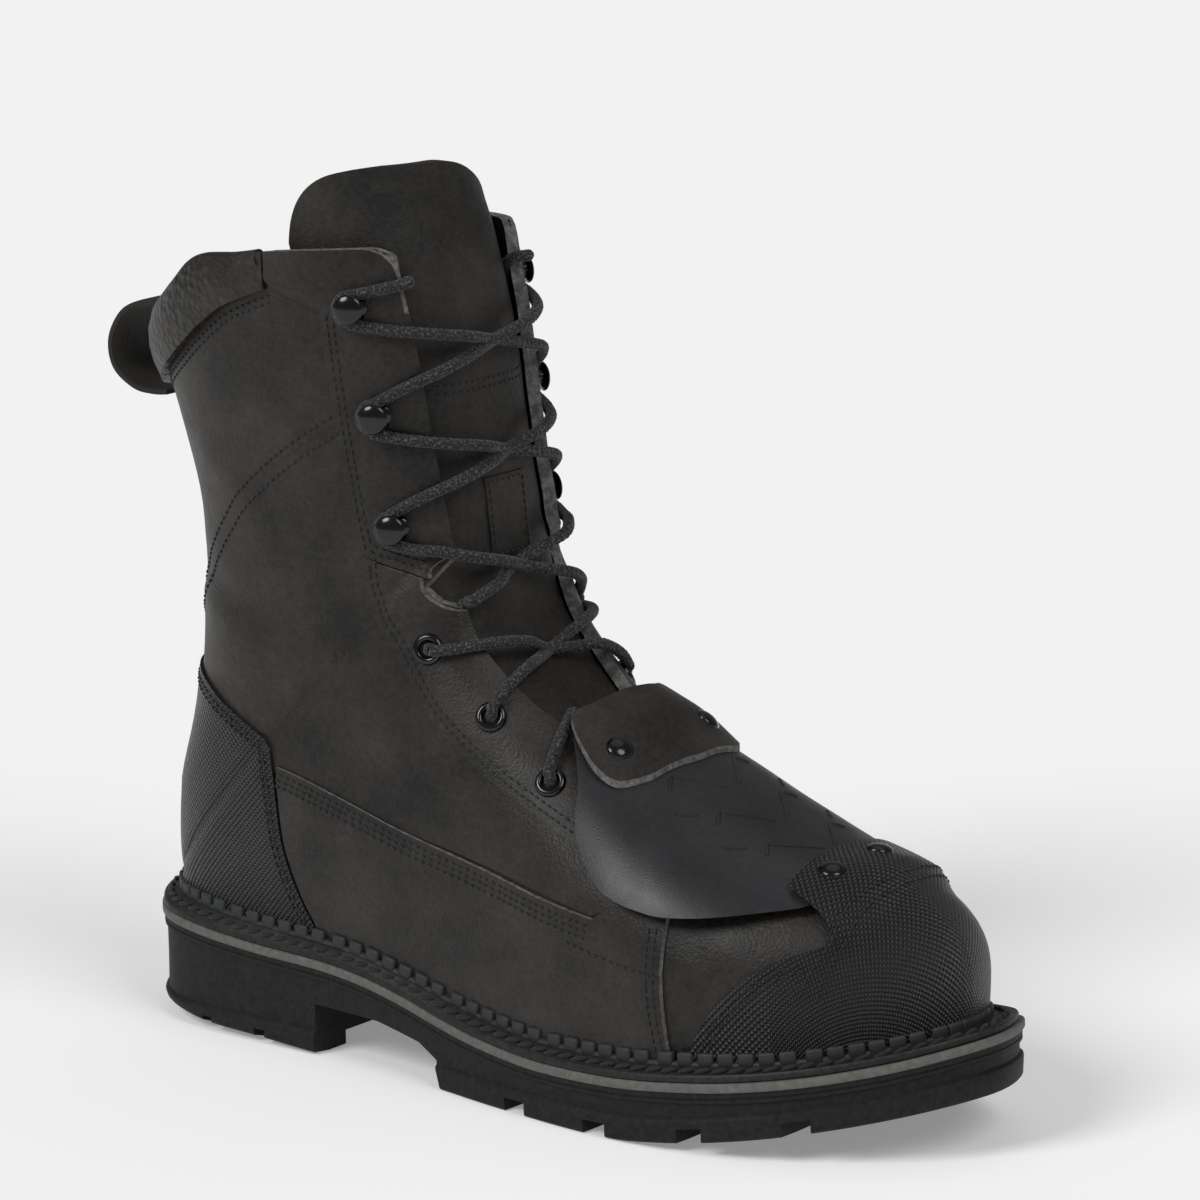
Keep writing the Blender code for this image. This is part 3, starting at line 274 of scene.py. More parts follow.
QUARTER_TOP = [(32.4, 92), (58.5, 85.7), (82.3, 79.1), (106.4, 74.1), (136.1, 68.6), (160.6, 65.3)]
QUARTER_FRONT = [(164.5, 68.5), (166, 82), (184, 78), (186.2, 67), (187.1, 45), (189.2, 28)]
QUARTER_REAR = [(42.5, 42.4), (39.2, 49.8), (34, 65.2), (32.2, 77), (31.6, 88)]
COLLAR_LINE = [
    (-80, 196), (-38, 200), (-21, 209.9), (-10, 217), (1.1, 225.3), (10, 231.8), (18.6, 237.1),
    (33.7, 243.3),
]

# Pattern edges, seen from above: x forward, y across
FLAP_FRONT = [(165.5, 0), (164.2, 14), (163, 22), (158.8, 28.9), (155.6, 31.1), (151.5, 31.7), (147.4, 31.2)]
FLAP_REAR = [(142.9, 29.4), (138.1, 26.6), (134.2, 22.8), (136.3, 15.7), (137.2, 8), (137.2, 0)]

HOOKS = [(66, 38.4, 241.3), (68.8, 36.6, 205), (75.2, 35.4, 171.5)]
EYELETS = [(90, 36.0, 137), (111, 33.5, 117.5), (136, 34.0, 102)]
FLAP_RIVETS = [(151.9, -22.3), (151.9, 22.3)]
CAP_RIVETS = [(225.4, -15.0), (227.0, 7.0)]
# Where a strand hides: past the throat's edge, over the upper's surface, and up from the place it comes out
HIDING = [(11.0, -3.9, -8.0), (4.0, -3.4, -2.5), (-1.2, -0.6, 0.0)]
TOP_TUCK = (76, 247)
LOW_TUCK = (94, 149)
UNDER_FLAP = (125.6, -14.5, 114)
LACE_LEAN = [(100, 64), (112, 54), (122, 42), (134, 28), (150, 15), (200, 11), (260, 11)]
THROAT_EDGE = [(102, 9), (107, 16), (117, 21), (130, 24), (145, 25), (200, 25.6), (250, 28)]
TONGUE_LIFT = -1.3
FACING_LIFT = 4.0

# Finer parts
MERGE = 0.02
SHARP = 40
CURVE_STEPS = 5
SIDE_LOW, SIDE_HIGH = 3, 95
PATTERN_REACH = 99
CORNER_REACH = 97
RIM_STEPS = 24
RIB_OVERLAP = 0.8
STITCH_SUNK = 0.35
AIM_BACK = 60
LEAN_WIDE = 45
LIFT_FROM, LIFT_TO = 21, 9
OVERLAP_WIDTH = 0.16
# A lace's way through an eyelet: up from the surface, and on towards its next turn
EYELET_PATH = [(-6.0, -1.2), (-3.0, -0.6), (0.4, 0.3)]
EYELET_OUT = 2.2
BRAID_LOW, BRAID_RISE, BRAID_PHASE = 0.86, 0.15, 1.5
# Width and height of the near-black disc in each eyelet's bore, which is painted shade for the hole
SHADE_DISC_WIDER = 1.15
SHADE_DISC_RISE = 0.12
TAB_ENDS = (233, 245)
TAB_CLIMBS = (64, 73)
FLAP_LIFTS = (140, 160)
FLAP_CUT = (85, 160)
FAR_OUT = 120
STITCH = (1.08, 0.4, 0.36)
WELT_STITCH = (2.9, 0.85, 0.75)
RIDGE_SIDES = 8
LACE_SIDES = 12
EYELET_LACE = 2.3
WELT_CREASE = 0.3
FOREFOOT_SLOTS = (131.5, 164.5, 199.0, 232.0)
HEEL_SLOTS = (-24.0, -3.0, 20.0)
CHEVRONS = (118.0, 148.0, 181.0, 215.0)
# Grooves of the tread, seen from above and placed at the stations over them
FOREFOOT_SLOT = [(-4, 24), (4, 24), (6, 80), (-3, 80)]
HEEL_SLOT = [(-2, 24), (2, 24), (3.5, 80), (-2, 80)]
LONG_GROOVE = [(104, 19), (246, 19), (246, 24.5), (104, 24.5)]
HEEL_SPACE = [(-24, -24.5), (BREAST_X + 5, -24.5), (BREAST_X + 5, 24.5), (-24, 24.5)]
HEEL_GROOVE = [(-26, -3), (BREAST_X + 5, -3), (BREAST_X + 5, 3), (-26, 3)]
CHEVRON = [(0, 0), (-9, 19.5), (-5, 19.5), (4, 0), (-5, -19.5), (-9, -19.5)]
HEEL_PAD = [(-17, -17), (17, -17), (17, 17), (-17, 17)]
TREAD_STATIONS = (-60, 60, 150, 172, 190, 215, 240, 262, 290)
GROOVE_LOW, GROOVE_HIGH = -40, 60
OVERLAP = {1: 0.9, 2: 2.2, 3: 0.9, 4: 2.2}
TOE_CENTRE = 221.0
TOE_HALF = 42.0
TOE_HIGH = 44.0
TOE_BASE = 36.0
TOE_ARC = 67.0
HEEL_RADIUS = 36.0

Crease = namedtuple("Crease", "x1 z1 x2 z2 width depth")
CREASES = [
    Crease(-8, 150, 30, 138, 5.0, -0.9),
    Crease(-6, 140, 34, 126, 4.5, 0.6),
    Crease(22, 132, 60, 118, 5.5, -0.7),
    Crease(2, 184, 26, 172, 5.0, 0.5),
    Crease(40, 112, 78, 96, 6.0, -0.6),
    Crease(120, 62, 150, 50, 6.0, -0.5),
    Crease(192, 66, 206, 50, 5.0, -0.5),
]
ROLL_R = 3.0
ROLL_SIDES = 16
ROLL_DROP = 2.0
PAD_LEAST = 8
PAD_SWELL = 1.6
PAD_TUCK = 1.0
PAD_UNDER = 1.2
PAD_FRONT = 34.5
BASE_SOFTENED = 8
# Where the base surface is softened more: the back seam at the heel and the crown of the toe
SOFTENED = [((-60, -30, 30), (-20, 30, 80), 10), ((206, -30, 60), (240, 30, 110), 6)]

# Pattern parts only seen in the scene
FRONT_CORNER = [
    (58, 258.2), (64, 258.0), (68, 257.2), (71, 255.6), (73.2, 252.8), (74.6, 249.0), (75.6, 244.0),
    (77, 238), (120, 238), (120, 300), (58, 300),
]
PANEL_THICK = 0.8
SHAFT_PANEL = [
    (60, 204.4), (58.4, 203.4), (45.5, 195.3), (33.2, 186.7), (19.5, 175.3), (11.1, 166), (3, 156.4),
    (-12, 138), (-34, 112), (-34, 100), (30, 90), (60, 84), (90, 78), (160, 66), (175, 74), (160, 82),
    (120, 98), (93, 116), (76, 138), (68, 153), (66, 165),
]
PANEL_SEAM = SHAFT_PANEL[1:9]
GUARD_ACROSS = 60
GUARD_PER_SPAN = 10
GUARD_RIBS = (166.0, 184.0, 202.0)
GUARD_RIB_WIDTH = 1.2
GUARD_RIB_HEIGHT = 0.5
GUARD_RIB = [((12, 2.5), (0, 15.5)), ((0, 15.5), (3.2, 20.5)), ((-3, 21.5), (-8.5, 26.5))]
TONGUE_SPANS = [0.3, 0.42, 0.5, 0.56, 0.6, 0.64, 0.67, 0.68, 0.69, 0.7, 0.72, 0.74, 0.77, 0.82, 0.86]
TONGUE_SPANS += [0.9] * 4
TONGUE_ROWS = slice(7, 20)
TONGUE_ACROSS = 14
TONGUE_PER_SPAN = 4
TONGUE_TOP = [
    (35, 236), (36, 250), (37.2, 262), (39.4, 269.4), (43.6, 274.8), (50, 278.4), (60, 280.4), (72, 281.4),
]
# The tongue's top edge seen from the front: it leans down to the medial side
TONGUE_LEAN = [
    (-40, 278.4), (-25, 280.2), (-8, 280.4), (2, 279.8), (10, 277.4), (18, 272.6), (25, 266.6), (31, 261.4),
    (40, 257),
]
TONGUE_SEAM = (-22, 23, 2)
TONGUE_SEAM_Z = 212.0
PATCH = [(-9.5, 160), (9.5, 160), (9.5, 185), (-9.5, 185)]
PATCH_THICK = 0.9
PATCH_SUNK = 0.2
PATCH_SEAM = 1.4
PATCH_PITCH = 2.2
PULL_ROUTE = [
    (-34, 225.2), (-39, 227), (-46, 226.2), (-55, 222), (-60.5, 213), (-59, 204), (-51, 198.5),
    (-43, 197.5), (-37, 198),
]
PULL_HALF = 11.0
PULL_THICK = 1.6
ARCH = [
    (BREAST_X, -20), (BREAST_X, ARCH_Z), (70, ARCH_Z - 0.6), (88, ARCH_Z - 3.6),
    (ARCH_FRONT_X - 1, ARCH_Z - 7.5), (ARCH_FRONT_X + 7, -20),
]
CAP_SEAM = [
    (229, -40), (234, -34), (238.5, -24), (241.5, -10), (242.3, 2), (241.5, 14), (238.5, 26), (233, 36),
    (228, 42),
]
CAP_SEAM_ROWS = (0.0, 2.6)
TONGUE_SEAM_ROWS = (0.0, 2.4)

# Rows of stitches: a pattern edge, and how far inside it each row runs
SEAMS = [
    (CAP_EDGE, (-2.8, -4.8)),
    (COUNTER_EDGE[1:], (-2.6, -4.6)),
    (COUNTER_FRONT, (-2.6, -4.6)),
    (COLLAR_LINE, (-2.2, -4.2)),
    (PANEL_SEAM, (2.6, -3.0)),
    (FACING_BACK[2:], (2.2, 4.2)),
    (FACING_FOOT[:4], (2.2, 4.2)),
    (EYESTAY_BACK, (2.4, 4.4)),
    (QUARTER_TOP, (-2.2, -4.2, -6.2)),
    ([(150, 57.5), (160, 55.5), (172, 53.5), (186, 51.5)], (0.0,)),
    (QUARTER_FRONT[3:], (-2.4, -4.8)),
]
# Rows along the throat: first and last section, and how far in from the edge
THROAT_ROWS = [(7, 12, 3.4), (14, 22, 3.2), (14, 22, 5.2)]
WELT_STATIONS = 420

# Turned profiles: radius and height
HOOK_PROFILE = [
    (0, 7.2), (1.6, 7.1), (3.0, 6.8), (4.1, 6.3), (4.6, 5.9), (4.7, 5.6), (4.5, 5.35), (3.2, 5.2),
    (HOOK_NECK, 4.8), (HOOK_NECK, 1.1), (2.9, 0.8), (4.2, 0.5), (4.5, 0.1), (4.4, -0.4), (0, -0.4),
]
EYELET_PROFILE = [
    (EYELET_BORE, 0.2), (EYELET_BORE + 0.15, 0.75), (EYELET_BORE + 0.6, 1.15), (3.7, 1.25), (4.4, 1.0),
    (4.8, 0.45), (4.9, -0.1), (3.0, -0.2), (2.9, -3.4), (EYELET_BORE, -3.4),
]
RIVET_PROFILE = [(0, 1.5), (1.3, 1.42), (2.6, 1.1), (3.6, 0.6), (RIVET_R, 0.1), (RIVET_R, -0.3), (0, -0.3)]

LACES = {
    "lace_hooks": [
        [
            ("tuck", LATERAL, TOP_TUCK), ("hook", LATERAL, 1), ("hook", MEDIAL, 2), ("hook", LATERAL, 3),
            ("eyelet", MEDIAL, 1),
        ],
        [
            ("tuck", MEDIAL, TOP_TUCK), ("hook", MEDIAL, 1), ("hook", LATERAL, 2), ("hook", MEDIAL, 3),
            ("tuck", LATERAL, LOW_TUCK),
        ],
    ],
    "lace_eyelets": [
        [("eyelet", LATERAL, 1), ("eyelet", MEDIAL, 2)],
        [("eyelet", MEDIAL, 1), ("eyelet", LATERAL, 2)],
    ],
    "lace_end": [[("eyelet", LATERAL, 3), UNDER_FLAP]],
}

# Finishes: sizes in millimetres, noise scales in waves over a millimetre
Leather = namedtuple("Leather", "roughness grain depth pores")
OILED = Leather(0.46, 1.1, 0.10, 0.03)
PEBBLED = Leather(0.42, 0.42, 0.42, 0.03)
TONGUE_SKIN = Leather(0.6, 1.0, 0.12, 0.03)
GUARD_SKIN = Leather(0.36, 2.2, 0.03, 0.012)
CLOUD_SCALE, CLOUD_SHARE = 0.028, 0.62
MOTTLE_SCALE, MOTTLE_SHARE = 0.5, 0.38
LEATHER_RAMP = (0.39, 0.64)
LEATHER_SHINE = 0.32
LEATHER_SPREAD = (-0.10, 0.12)
FABRIC_PITCH = 2.0
FABRIC_DEPTH = 0.9
FABRIC_SHINE = 0.42
RUBBER_SHINE = 0.28
RUBBER_RAMP = (0.4, 0.75)
FLECK_SCALE = (1.4, 12, 1)
FLECK_RAMP = (0.5, 0.68)
WEBBING_RIBS = 2.6
METAL_SPREAD = (-0.06, 0.1)
# Near-black of the eyelet discs: painted shade inside the holes
PAINTED_HOLE_SHADE = (0.001, 0.001, 0.001)
FLOOR_WHITE = (0.8, 0.8, 0.8)

# The stage
Camera = namedtuple("Camera", "turn rise roll away aim sensor lens")
CAMERA = Camera(37.95, 13.0, -0.74, 2.0, (0.12762, 0, 0.14988), 36.0, 196.6545)
CLIP_END = 20
FLOOR_HALF = 12.0
PALE = (0.877, 0.877, 0.877)
ROOM_LIGHT = 0.2
FLOOR_GLOW = 0.243
Sun = namedtuple("Sun", "name towards strength width")
SUNS = [
    Sun("key", (-0.3, -0.9, 0.85), 1.6, 26.0),
    Sun("front", (0.9, -0.2, 0.95), 1.0, 30.0),
    Sun("top", (-0.1, 0.25, 1.0), 0.2, 45.0),
]

# Curves through short tables


def smooth(rows, x):
    """The value of a table at x, on a cubic through its rows that never overshoots them."""
    xs = [r[0] for r in rows]
    ys = [r[1] for r in rows]
    if x <= xs[0]:
        return ys[0]
    if x >= xs[-1]:
        return ys[-1]
    i = max(k for k in range(len(xs) - 1) if xs[k] <= x)
    slopes = [(ys[k + 1] - ys[k]) / (xs[k + 1] - xs[k]) for k in range(len(xs) - 1)]

    def tangent(k):
        if k == 0 or k == len(xs) - 1:
            return slopes[min(k, len(slopes) - 1)]
        before, after = slopes[k - 1], slopes[k]
        return 0 if before * after <= 0 else 2 * before * after / (before + after)

    h = xs[i + 1] - xs[i]
    t = (x - xs[i]) / h
    return (
        ys[i] * (1 + 2 * t) * (1 - t) ** 2
        + ys[i + 1] * t * t * (3 - 2 * t)
        + tangent(i) * h * t * (1 - t) ** 2
        - tangent(i + 1) * h * t * t * (1 - t)
    )


def strip_top(x):
    return smooth(STRIP_TOP, x)


def ground(x):
    return smooth(GROUND, x)


def rib_top(x):
    return strip_top(x) + smooth(RIB_TOP, x)


def rib_foot(x):
    return rib_top(x) - RIB_HEIGHT


def feather(x):
    return strip_top(x) + FEATHER_RISE


def step(low, high, value):
    """Rises smoothly from 0 to 1 as value goes from low to high."""
    t = min(1.0, max(0.0, (value - low) / (high - low)))
    return t * t * (3 - 2 * t)


def catmull(points, per_span, closed=False):
    """A smooth curve through points, as Vectors."""
    points = [Vector(p) for p in points]
    n = len(points)
    spans = n if closed else n - 1
    line = []
    for i in range(spans):
        ring = [points[(i + k) % n] if closed else points[min(max(i + k, 0), n - 1)] for k in (-1, 0, 1, 2)]
        p0, p1, p2, p3 = ring
        for s in range(per_span):
            t = s / per_span
            a, b = (p2 - p0) * 0.5, (p3 - p1) * 0.5
            d = p1 - p2
            line.append(p1 + a * t + (-3 * d - 2 * a - b) * t * t + (2 * d + a + b) * t**3)
    if not closed:
        line.append(points[-1])
    return line


def sole_outline(per_span=2):
    """The sole's edge seen from above, from the heel along the lateral side to the toe and back."""
    lateral = [(e.x, -e.lateral) for e in SOLE_EDGE]
    medial = [(e.x, e.medial) for e in reversed(SOLE_EDGE)]
    return catmull([(HEEL_BACK, 0), *lateral, (TOE_TIP, TOE_TIP_Y), *medial], per_span, closed=True)


OUTLINE = sole_outline(8)


def sole_reach(x, swing, side):
    """How far the sole's edge lies from (x, 0), in a direction turned by swing from the side to the toe."""
    a = math.radians(swing)
    direction = Vector((math.sin(a), side * math.cos(a)))
    across = Vector((-direction.y, direction.x))
    best = 0.0
    for i, p in enumerate(OUTLINE):
        a0 = p - Vector((x, 0))
        b0 = OUTLINE[(i + 1) % len(OUTLINE)] - Vector((x, 0))
        u, v = a0.dot(across), b0.dot(across)
        if u * v <= 0 and u != v:
            hit = a0.lerp(b0, u / (u - v)).dot(direction)
            best = max(best, hit)
    return best


def half_section(row, side, steps, start=None, span=None):
    """Points of one half of a section, from the ridge or the throat edge down to the sole or back seam."""
    swing = math.radians(row.swing)
    out = Vector((math.sin(swing), side * math.cos(swing), 0))
    swell = row.swell_lateral if side == LATERAL else row.swell_medial
    if row.end_z is ON_FEATHER:
        reach = sole_reach(row.end_x, row.swing, side)
        end_reach = reach - smooth(INSETS, row.end_x + reach * math.sin(swing))
        end_z = feather(row.end_x + end_reach * math.sin(swing))
    else:
        end_reach, end_z = 0.0, row.end_z
    wide = end_reach + swell
    front = Vector((row.front_x, 0, row.front_z))
    down = Vector((row.end_x, 0, end_z)) - front
    last = math.pi - math.asin(min(1.0, (end_reach / wide) ** (row.back_power / 2)))
    fall = (1 - row.widest) / max(abs(math.cos(last)) ** (2 / row.back_power), 1e-6)
    first = 0.0
    if row.throat > 0 and start is None:
        first = math.asin(min(1.0, (row.throat / wide) ** (row.front_power / 2)))
    if span is not None:
        last = span * math.pi / 2
    points = []
    for j in range(steps + 1):
        angle = first + (last - first) * j / steps
        c, s = math.cos(angle), max(0.0, math.sin(angle))
        power = row.front_power if angle <= math.pi / 2 else row.back_power
        if angle <= math.pi / 2:
            along = row.widest * (1 - abs(c) ** (2 / power))
        else:
            along = row.widest + fall * abs(c) ** (2 / power)
        p = front + down * along + out * wide * s ** (2 / power)
        p.z += row.bow * math.sin(math.pi * min(along, 1.0))
        points.append(p)
    return points


# Making meshes and objects

X_AXIS, Y_AXIS, Z_AXIS = Vector((1, 0, 0)), Vector((0, 1, 0)), Vector((0, 0, 1))
# For each view of a pattern: its two directions and the one it is cut along
VIEWS = {
    "side": (X_AXIS, Z_AXIS, Y_AXIS),
    "above": (X_AXIS, Y_AXIS, Z_AXIS),
    "front": (Y_AXIS, Z_AXIS, X_AXIS),
}


def grid(columns, rows, place):
    """A bmesh grid whose vertices are put at place(u, v), with u and v from 0 to 1."""
    bm = bmesh.new()
    bmesh.ops.create_grid(bm, x_segments=columns, y_segments=rows, size=0.5)
    for v in bm.verts:
        v.co = place(v.co.x + 0.5, v.co.y + 0.5) * MM
    return bm


def joined(parts, merge=MERGE):
    """Several bmeshes as one, with the doubles along their seams merged and faces turned outwards."""
    bm = parts[0]
    for other in parts[1:]:
        add_to(bm, other)
    return cleaned(bm, merge)


def turn_towards(bm, probe):
    """Turns all faces so that the one farthest along a direction looks along it."""
    face = max(bm.faces, key=lambda f: f.calc_center_median().dot(probe))
    if face.normal.dot(probe) < 0:
        bmesh.ops.reverse_faces(bm, faces=bm.faces)
    return bm


def push_out(bm, offset):
    """Moves a surface out along its normals by offset(point) in millimetres."""
    bm.normal_update()
    for v, n in [(v, v.normal.copy()) for v in bm.verts]:
        v.co += n * offset(v.co / MM) * MM
    return bm


def piece(name, bm, look):
    mesh = bpy.data.meshes.new(name)
    bm.to_mesh(mesh)
    bm.free()
    obj = bpy.data.objects.new(name, mesh)
    bpy.context.scene.collection.objects.link(obj)
    if look:
        mesh.materials.append(look)
    return obj


def thicken(obj, thick, outwards=1.0):
    """Gives a surface a wall, outwards (1), inwards (-1) or both ways (0)."""
    wall = obj.modifiers.new("wall", "SOLIDIFY")
    wall.thickness = thick * MM
    wall.offset = outwards
    wall.use_even_offset = True
    wall.use_quality_normals = True
    return obj


def combine(obj, other, operation):
    """Cuts one solid with another."""
    cut = obj.modifiers.new(operation.lower(), "BOOLEAN")
    cut.operation = operation
    cut.solver = "MANIFOLD"
    cut.object = other
    return obj


def applied(obj, cutters=(), sharp=SHARP):
    """Applies an object's modifiers, removes its cutters and shades it smooth up to an angle."""
    bpy.context.view_layer.update()
    graph = bpy.context.evaluated_depsgraph_get()
    mesh = bpy.data.meshes.new_from_object(obj.evaluated_get(graph))
    obj.modifiers.clear()
    obj.data = mesh
    for cutter in cutters:
        bpy.data.objects.remove(cutter)
    smooth_shaded(obj, sharp)
    return obj


def smooth_shaded(obj, sharp=SHARP):
    obj.data.shade_smooth()
    obj.data.set_sharp_from_angle(angle=math.radians(sharp))
    return obj


def finished(obj, slot, *nodes):
    """Rides a finished piece on the boot and hides the CAD nodes it stands for; its slot is not used."""
    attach(obj, "root")
    if nodes:
        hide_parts(*nodes)
    return obj


def prism(name, outline, low, high, view="side", look=None):
    """A cutter with a pattern's outline, seen from the side (x, z), above (x, y) or the front (y, z)."""
    bm = bmesh.new()
    along, across, axis = VIEWS[view]
    verts = [bm.verts.new((along * a + across * b + axis * low) * MM) for a, b in outline]
    face = bm.faces.new(verts)
    side = bmesh.ops.extrude_face_region(bm, geom=[face])
    moved = [g for g in side["geom"] if isinstance(g, bmesh.types.BMVert)]
    bmesh.ops.translate(bm, verts=moved, vec=axis * (high - low) * MM)
    bmesh.ops.recalc_face_normals(bm, faces=bm.faces)
    return piece(name, bm, look)


def tree_of(obj):
    bm = bmesh.new()
    bm.from_mesh(obj.data)
    tree = BVHTree.FromBMesh(bm)
    bm.free()
    return tree


# Materials


def new_material(name, colour, roughness, metallic=0.0):
    made = bpy.data.materials.new(name)
    made.use_nodes = True
    shader = made.node_tree.nodes["Principled BSDF"]
    shader.inputs["Base Color"].default_value = (*colour, 1)
    shader.inputs["Roughness"].default_value = roughness
    shader.inputs["Metallic"].default_value = metallic
    return made


def node(made, kind, **values):
    """A node with its properties and, where the name is that of an input, its sockets set."""
    added = made.node_tree.nodes.new(kind)
    for key, value in values.items():
        label = key.replace("_", " ").title()
        if hasattr(added, key):
            setattr(added, key, value)
        else:
            added.inputs[label].default_value = value
    return added


def link(made, start, end):
    made.node_tree.links.new(start, end)


def coordinates(made, kind="Object", scale=(1 / MM, 1 / MM, 1 / MM)):
    """Object coordinates in millimetres, or those of another kind and scale."""
    source = node(made, "ShaderNodeTexCoord").outputs[kind]
    mapping = node(made, "ShaderNodeMapping")
    mapping.inputs["Scale"].default_value = scale
    link(made, source, mapping.inputs["Vector"])
    return mapping.outputs["Vector"]


def ramp(made, source, low, high, stops):
    """Turns a grey value between low and high into colours."""
    made_ramp = node(made, "ShaderNodeValToRGB")
    elements = made_ramp.color_ramp.elements
    elements[0].position, elements[1].position = low, high
    elements[0].color, elements[1].color = (*stops[0], 1), (*stops[1], 1)
    link(made, source, made_ramp.inputs["Fac"])
    return made_ramp.outputs["Color"]


def bumped(made, heights):
    """Adds bumps to the shader: a list of (height socket, distance in millimetres)."""
    shader = made.node_tree.nodes["Principled BSDF"]
    before = None
    for height, distance in heights:
        bump = node(made, "ShaderNodeBump")
        bump.inputs["Strength"].default_value = 1.0
        bump.inputs["Distance"].default_value = distance * MM
        link(made, height, bump.inputs["Height"])
        if before:
            link(made, before.outputs["Normal"], bump.inputs["Normal"])
        before = bump
    link(made, before.outputs["Normal"], shader.inputs["Normal"])


def noise(made, where, scale, detail=4.0, roughness=0.55):
    made_noise = node(made, "ShaderNodeTexNoise", scale=scale, detail=detail, roughness=roughness)
    link(made, where, made_noise.inputs["Vector"])
    return made_noise.outputs["Fac"]


def cells(made, where, scale, feature="F1"):
    made_cells = node(made, "ShaderNodeTexVoronoi", feature=feature, scale=scale)
    link(made, where, made_cells.inputs["Vector"])
    return made_cells.outputs["Distance"]


def maths(made, operation, a, b=None):
    step_node = node(made, "ShaderNodeMath", operation=operation)
    for socket, value in zip(step_node.inputs, (a, b)):
        if value is None:
            continue
        if isinstance(value, (int, float)):
            socket.default_value = value
        else:
            link(made, value, socket)
    return step_node.outputs["Value"]


def uneven(made, source, roughness, spread):
    """Lets the roughness vary with a grey value."""
    rough = node(made, "ShaderNodeMapRange")
    link(made, source, rough.inputs["Value"])
    rough.inputs["To Min"].default_value = roughness + spread[0]
    rough.inputs["To Max"].default_value = roughness + spread[1]
    link(made, rough.outputs["Result"], made.node_tree.nodes["Principled BSDF"].inputs["Roughness"])


def leather(name, dark, light, skin):
    """Leather: mottled in the large, with fine pores and grain and a roughness that varies."""
    made = new_material(name, dark, skin.roughness)
    shader = made.node_tree.nodes["Principled BSDF"]
    where = coordinates(made)
    clouds = maths(made, "MULTIPLY", noise(made, where, CLOUD_SCALE, 6.0, 0.62), CLOUD_SHARE)
    mottle = maths(made, "MULTIPLY", noise(made, where, MOTTLE_SCALE, 5.0, 0.7), MOTTLE_SHARE)
    shade = maths(made, "ADD", clouds, mottle)
    link(made, ramp(made, shade, *LEATHER_RAMP, (dark, light)), shader.inputs["Base Color"])
    uneven(made, noise(made, where, 0.09, 5.0, 0.6), skin.roughness, LEATHER_SPREAD)
    shader.inputs["Specular IOR Level"].default_value = LEATHER_SHINE
    pores = noise(made, where, 3.2, 3.0)
    bumped(made, [(cells(made, where, skin.grain), skin.depth), (pores, skin.pores)])
    return made


def woven(name, dark, light, roughness):
    """Ballistic fabric: rounded dots in a staggered grid over the piece's UV map in millimetres."""
    made = new_material(name, dark, roughness)
    shader = made.node_tree.nodes["Principled BSDF"]
    where = coordinates(made, "UV", (math.pi / FABRIC_PITCH, math.pi / FABRIC_PITCH, 1))
    split = node(made, "ShaderNodeSeparateXYZ")
    link(made, where, split.inputs["Vector"])
    diagonal = maths(made, "ADD", split.outputs["X"], split.outputs["Y"])
    other = maths(made, "SUBTRACT", split.outputs["X"], split.outputs["Y"])
    dots = maths(
        made,
        "MULTIPLY",
        maths(made, "ABSOLUTE", maths(made, "SINE", diagonal)),
        maths(made, "ABSOLUTE", maths(made, "SINE", other)),
    )
    link(made, ramp(made, dots, 0.05, 0.8, (dark, light)), shader.inputs["Base Color"])
    shader.inputs["Specular IOR Level"].default_value = FABRIC_SHINE
    bumped(made, [(dots, FABRIC_DEPTH), (noise(made, coordinates(made), 2.5, 3.0), 0.03)])
    return made


def rubber(name, dark, light, roughness, grain=1.4, depth=0.05):
    """Moulded rubber: faint specks and dust, and a fine sandblasted surface."""
    made = new_material(name, dark, roughness)
    shader = made.node_tree.nodes["Principled BSDF"]
    shader.inputs["Specular IOR Level"].default_value = RUBBER_SHINE
    where = coordinates(made)
    specks = noise(made, where, 0.5, 8.0, 0.7)
    link(made, ramp(made, specks, *RUBBER_RAMP, (dark, light)), shader.inputs["Base Color"])
    bumped(made, [(noise(made, where, grain, 4.0, 0.6), depth)])
    return made


def braid(name, dark, light):
    """Lace yarn: short grey flecks over black, along the piece's UV map."""
    made = new_material(name, dark, 0.85)
    shader = made.node_tree.nodes["Principled BSDF"]
    where = coordinates(made, "UV", FLECK_SCALE)
    flecks = noise(made, where, 1.0, 3.0, 0.6)
    link(made, ramp(made, flecks, *FLECK_RAMP, (dark, light)), shader.inputs["Base Color"])
    shader.inputs["Sheen Weight"].default_value = 0.12
    bumped(made, [(noise(made, coordinates(made), 4.0, 2.0), 0.06)])
    return made


def webbing_weave(name, dark, light):
    """Narrow ribbed webbing."""
    made = new_material(name, dark, 0.8)
    shader = made.node_tree.nodes["Principled BSDF"]
    where = coordinates(made)
    split = node(made, "ShaderNodeSeparateXYZ")
    link(made, where, split.inputs["Vector"])
    across = maths(made, "MULTIPLY", split.outputs["Y"], WEBBING_RIBS)
    ribs = maths(made, "ABSOLUTE", maths(made, "SINE", across))
    link(made, ramp(made, ribs, 0.1, 0.9, (dark, light)), shader.inputs["Base Color"])
    bumped(made, [(ribs, 0.25), (noise(made, where, 2.0, 2.0), 0.08)])
    return made


def glowing(name, colour, glow):
    """The floor: pale, and lit a little from within as a studio table is."""
    made = new_material(name, colour, 1.0)
    shader = made.node_tree.nodes["Principled BSDF"]
    shader.inputs["Specular IOR Level"].default_value = 0.0
    shader.inputs["Emission Color"].default_value = (1, 1, 1, 1)
    shader.inputs["Emission Strength"].default_value = glow
    return made


def metal(name, colour, roughness, metallic=0.9):
    made = new_material(name, colour, roughness, metallic)
    shader = made.node_tree.nodes["Principled BSDF"]
    uneven(made, noise(made, coordinates(made), 0.4, 5.0, 0.6), roughness, METAL_SPREAD)
    shader.inputs["Coat Weight"].default_value = 0.4
    shader.inputs["Coat Roughness"].default_value = 0.12
    return made


FINISHES = {}


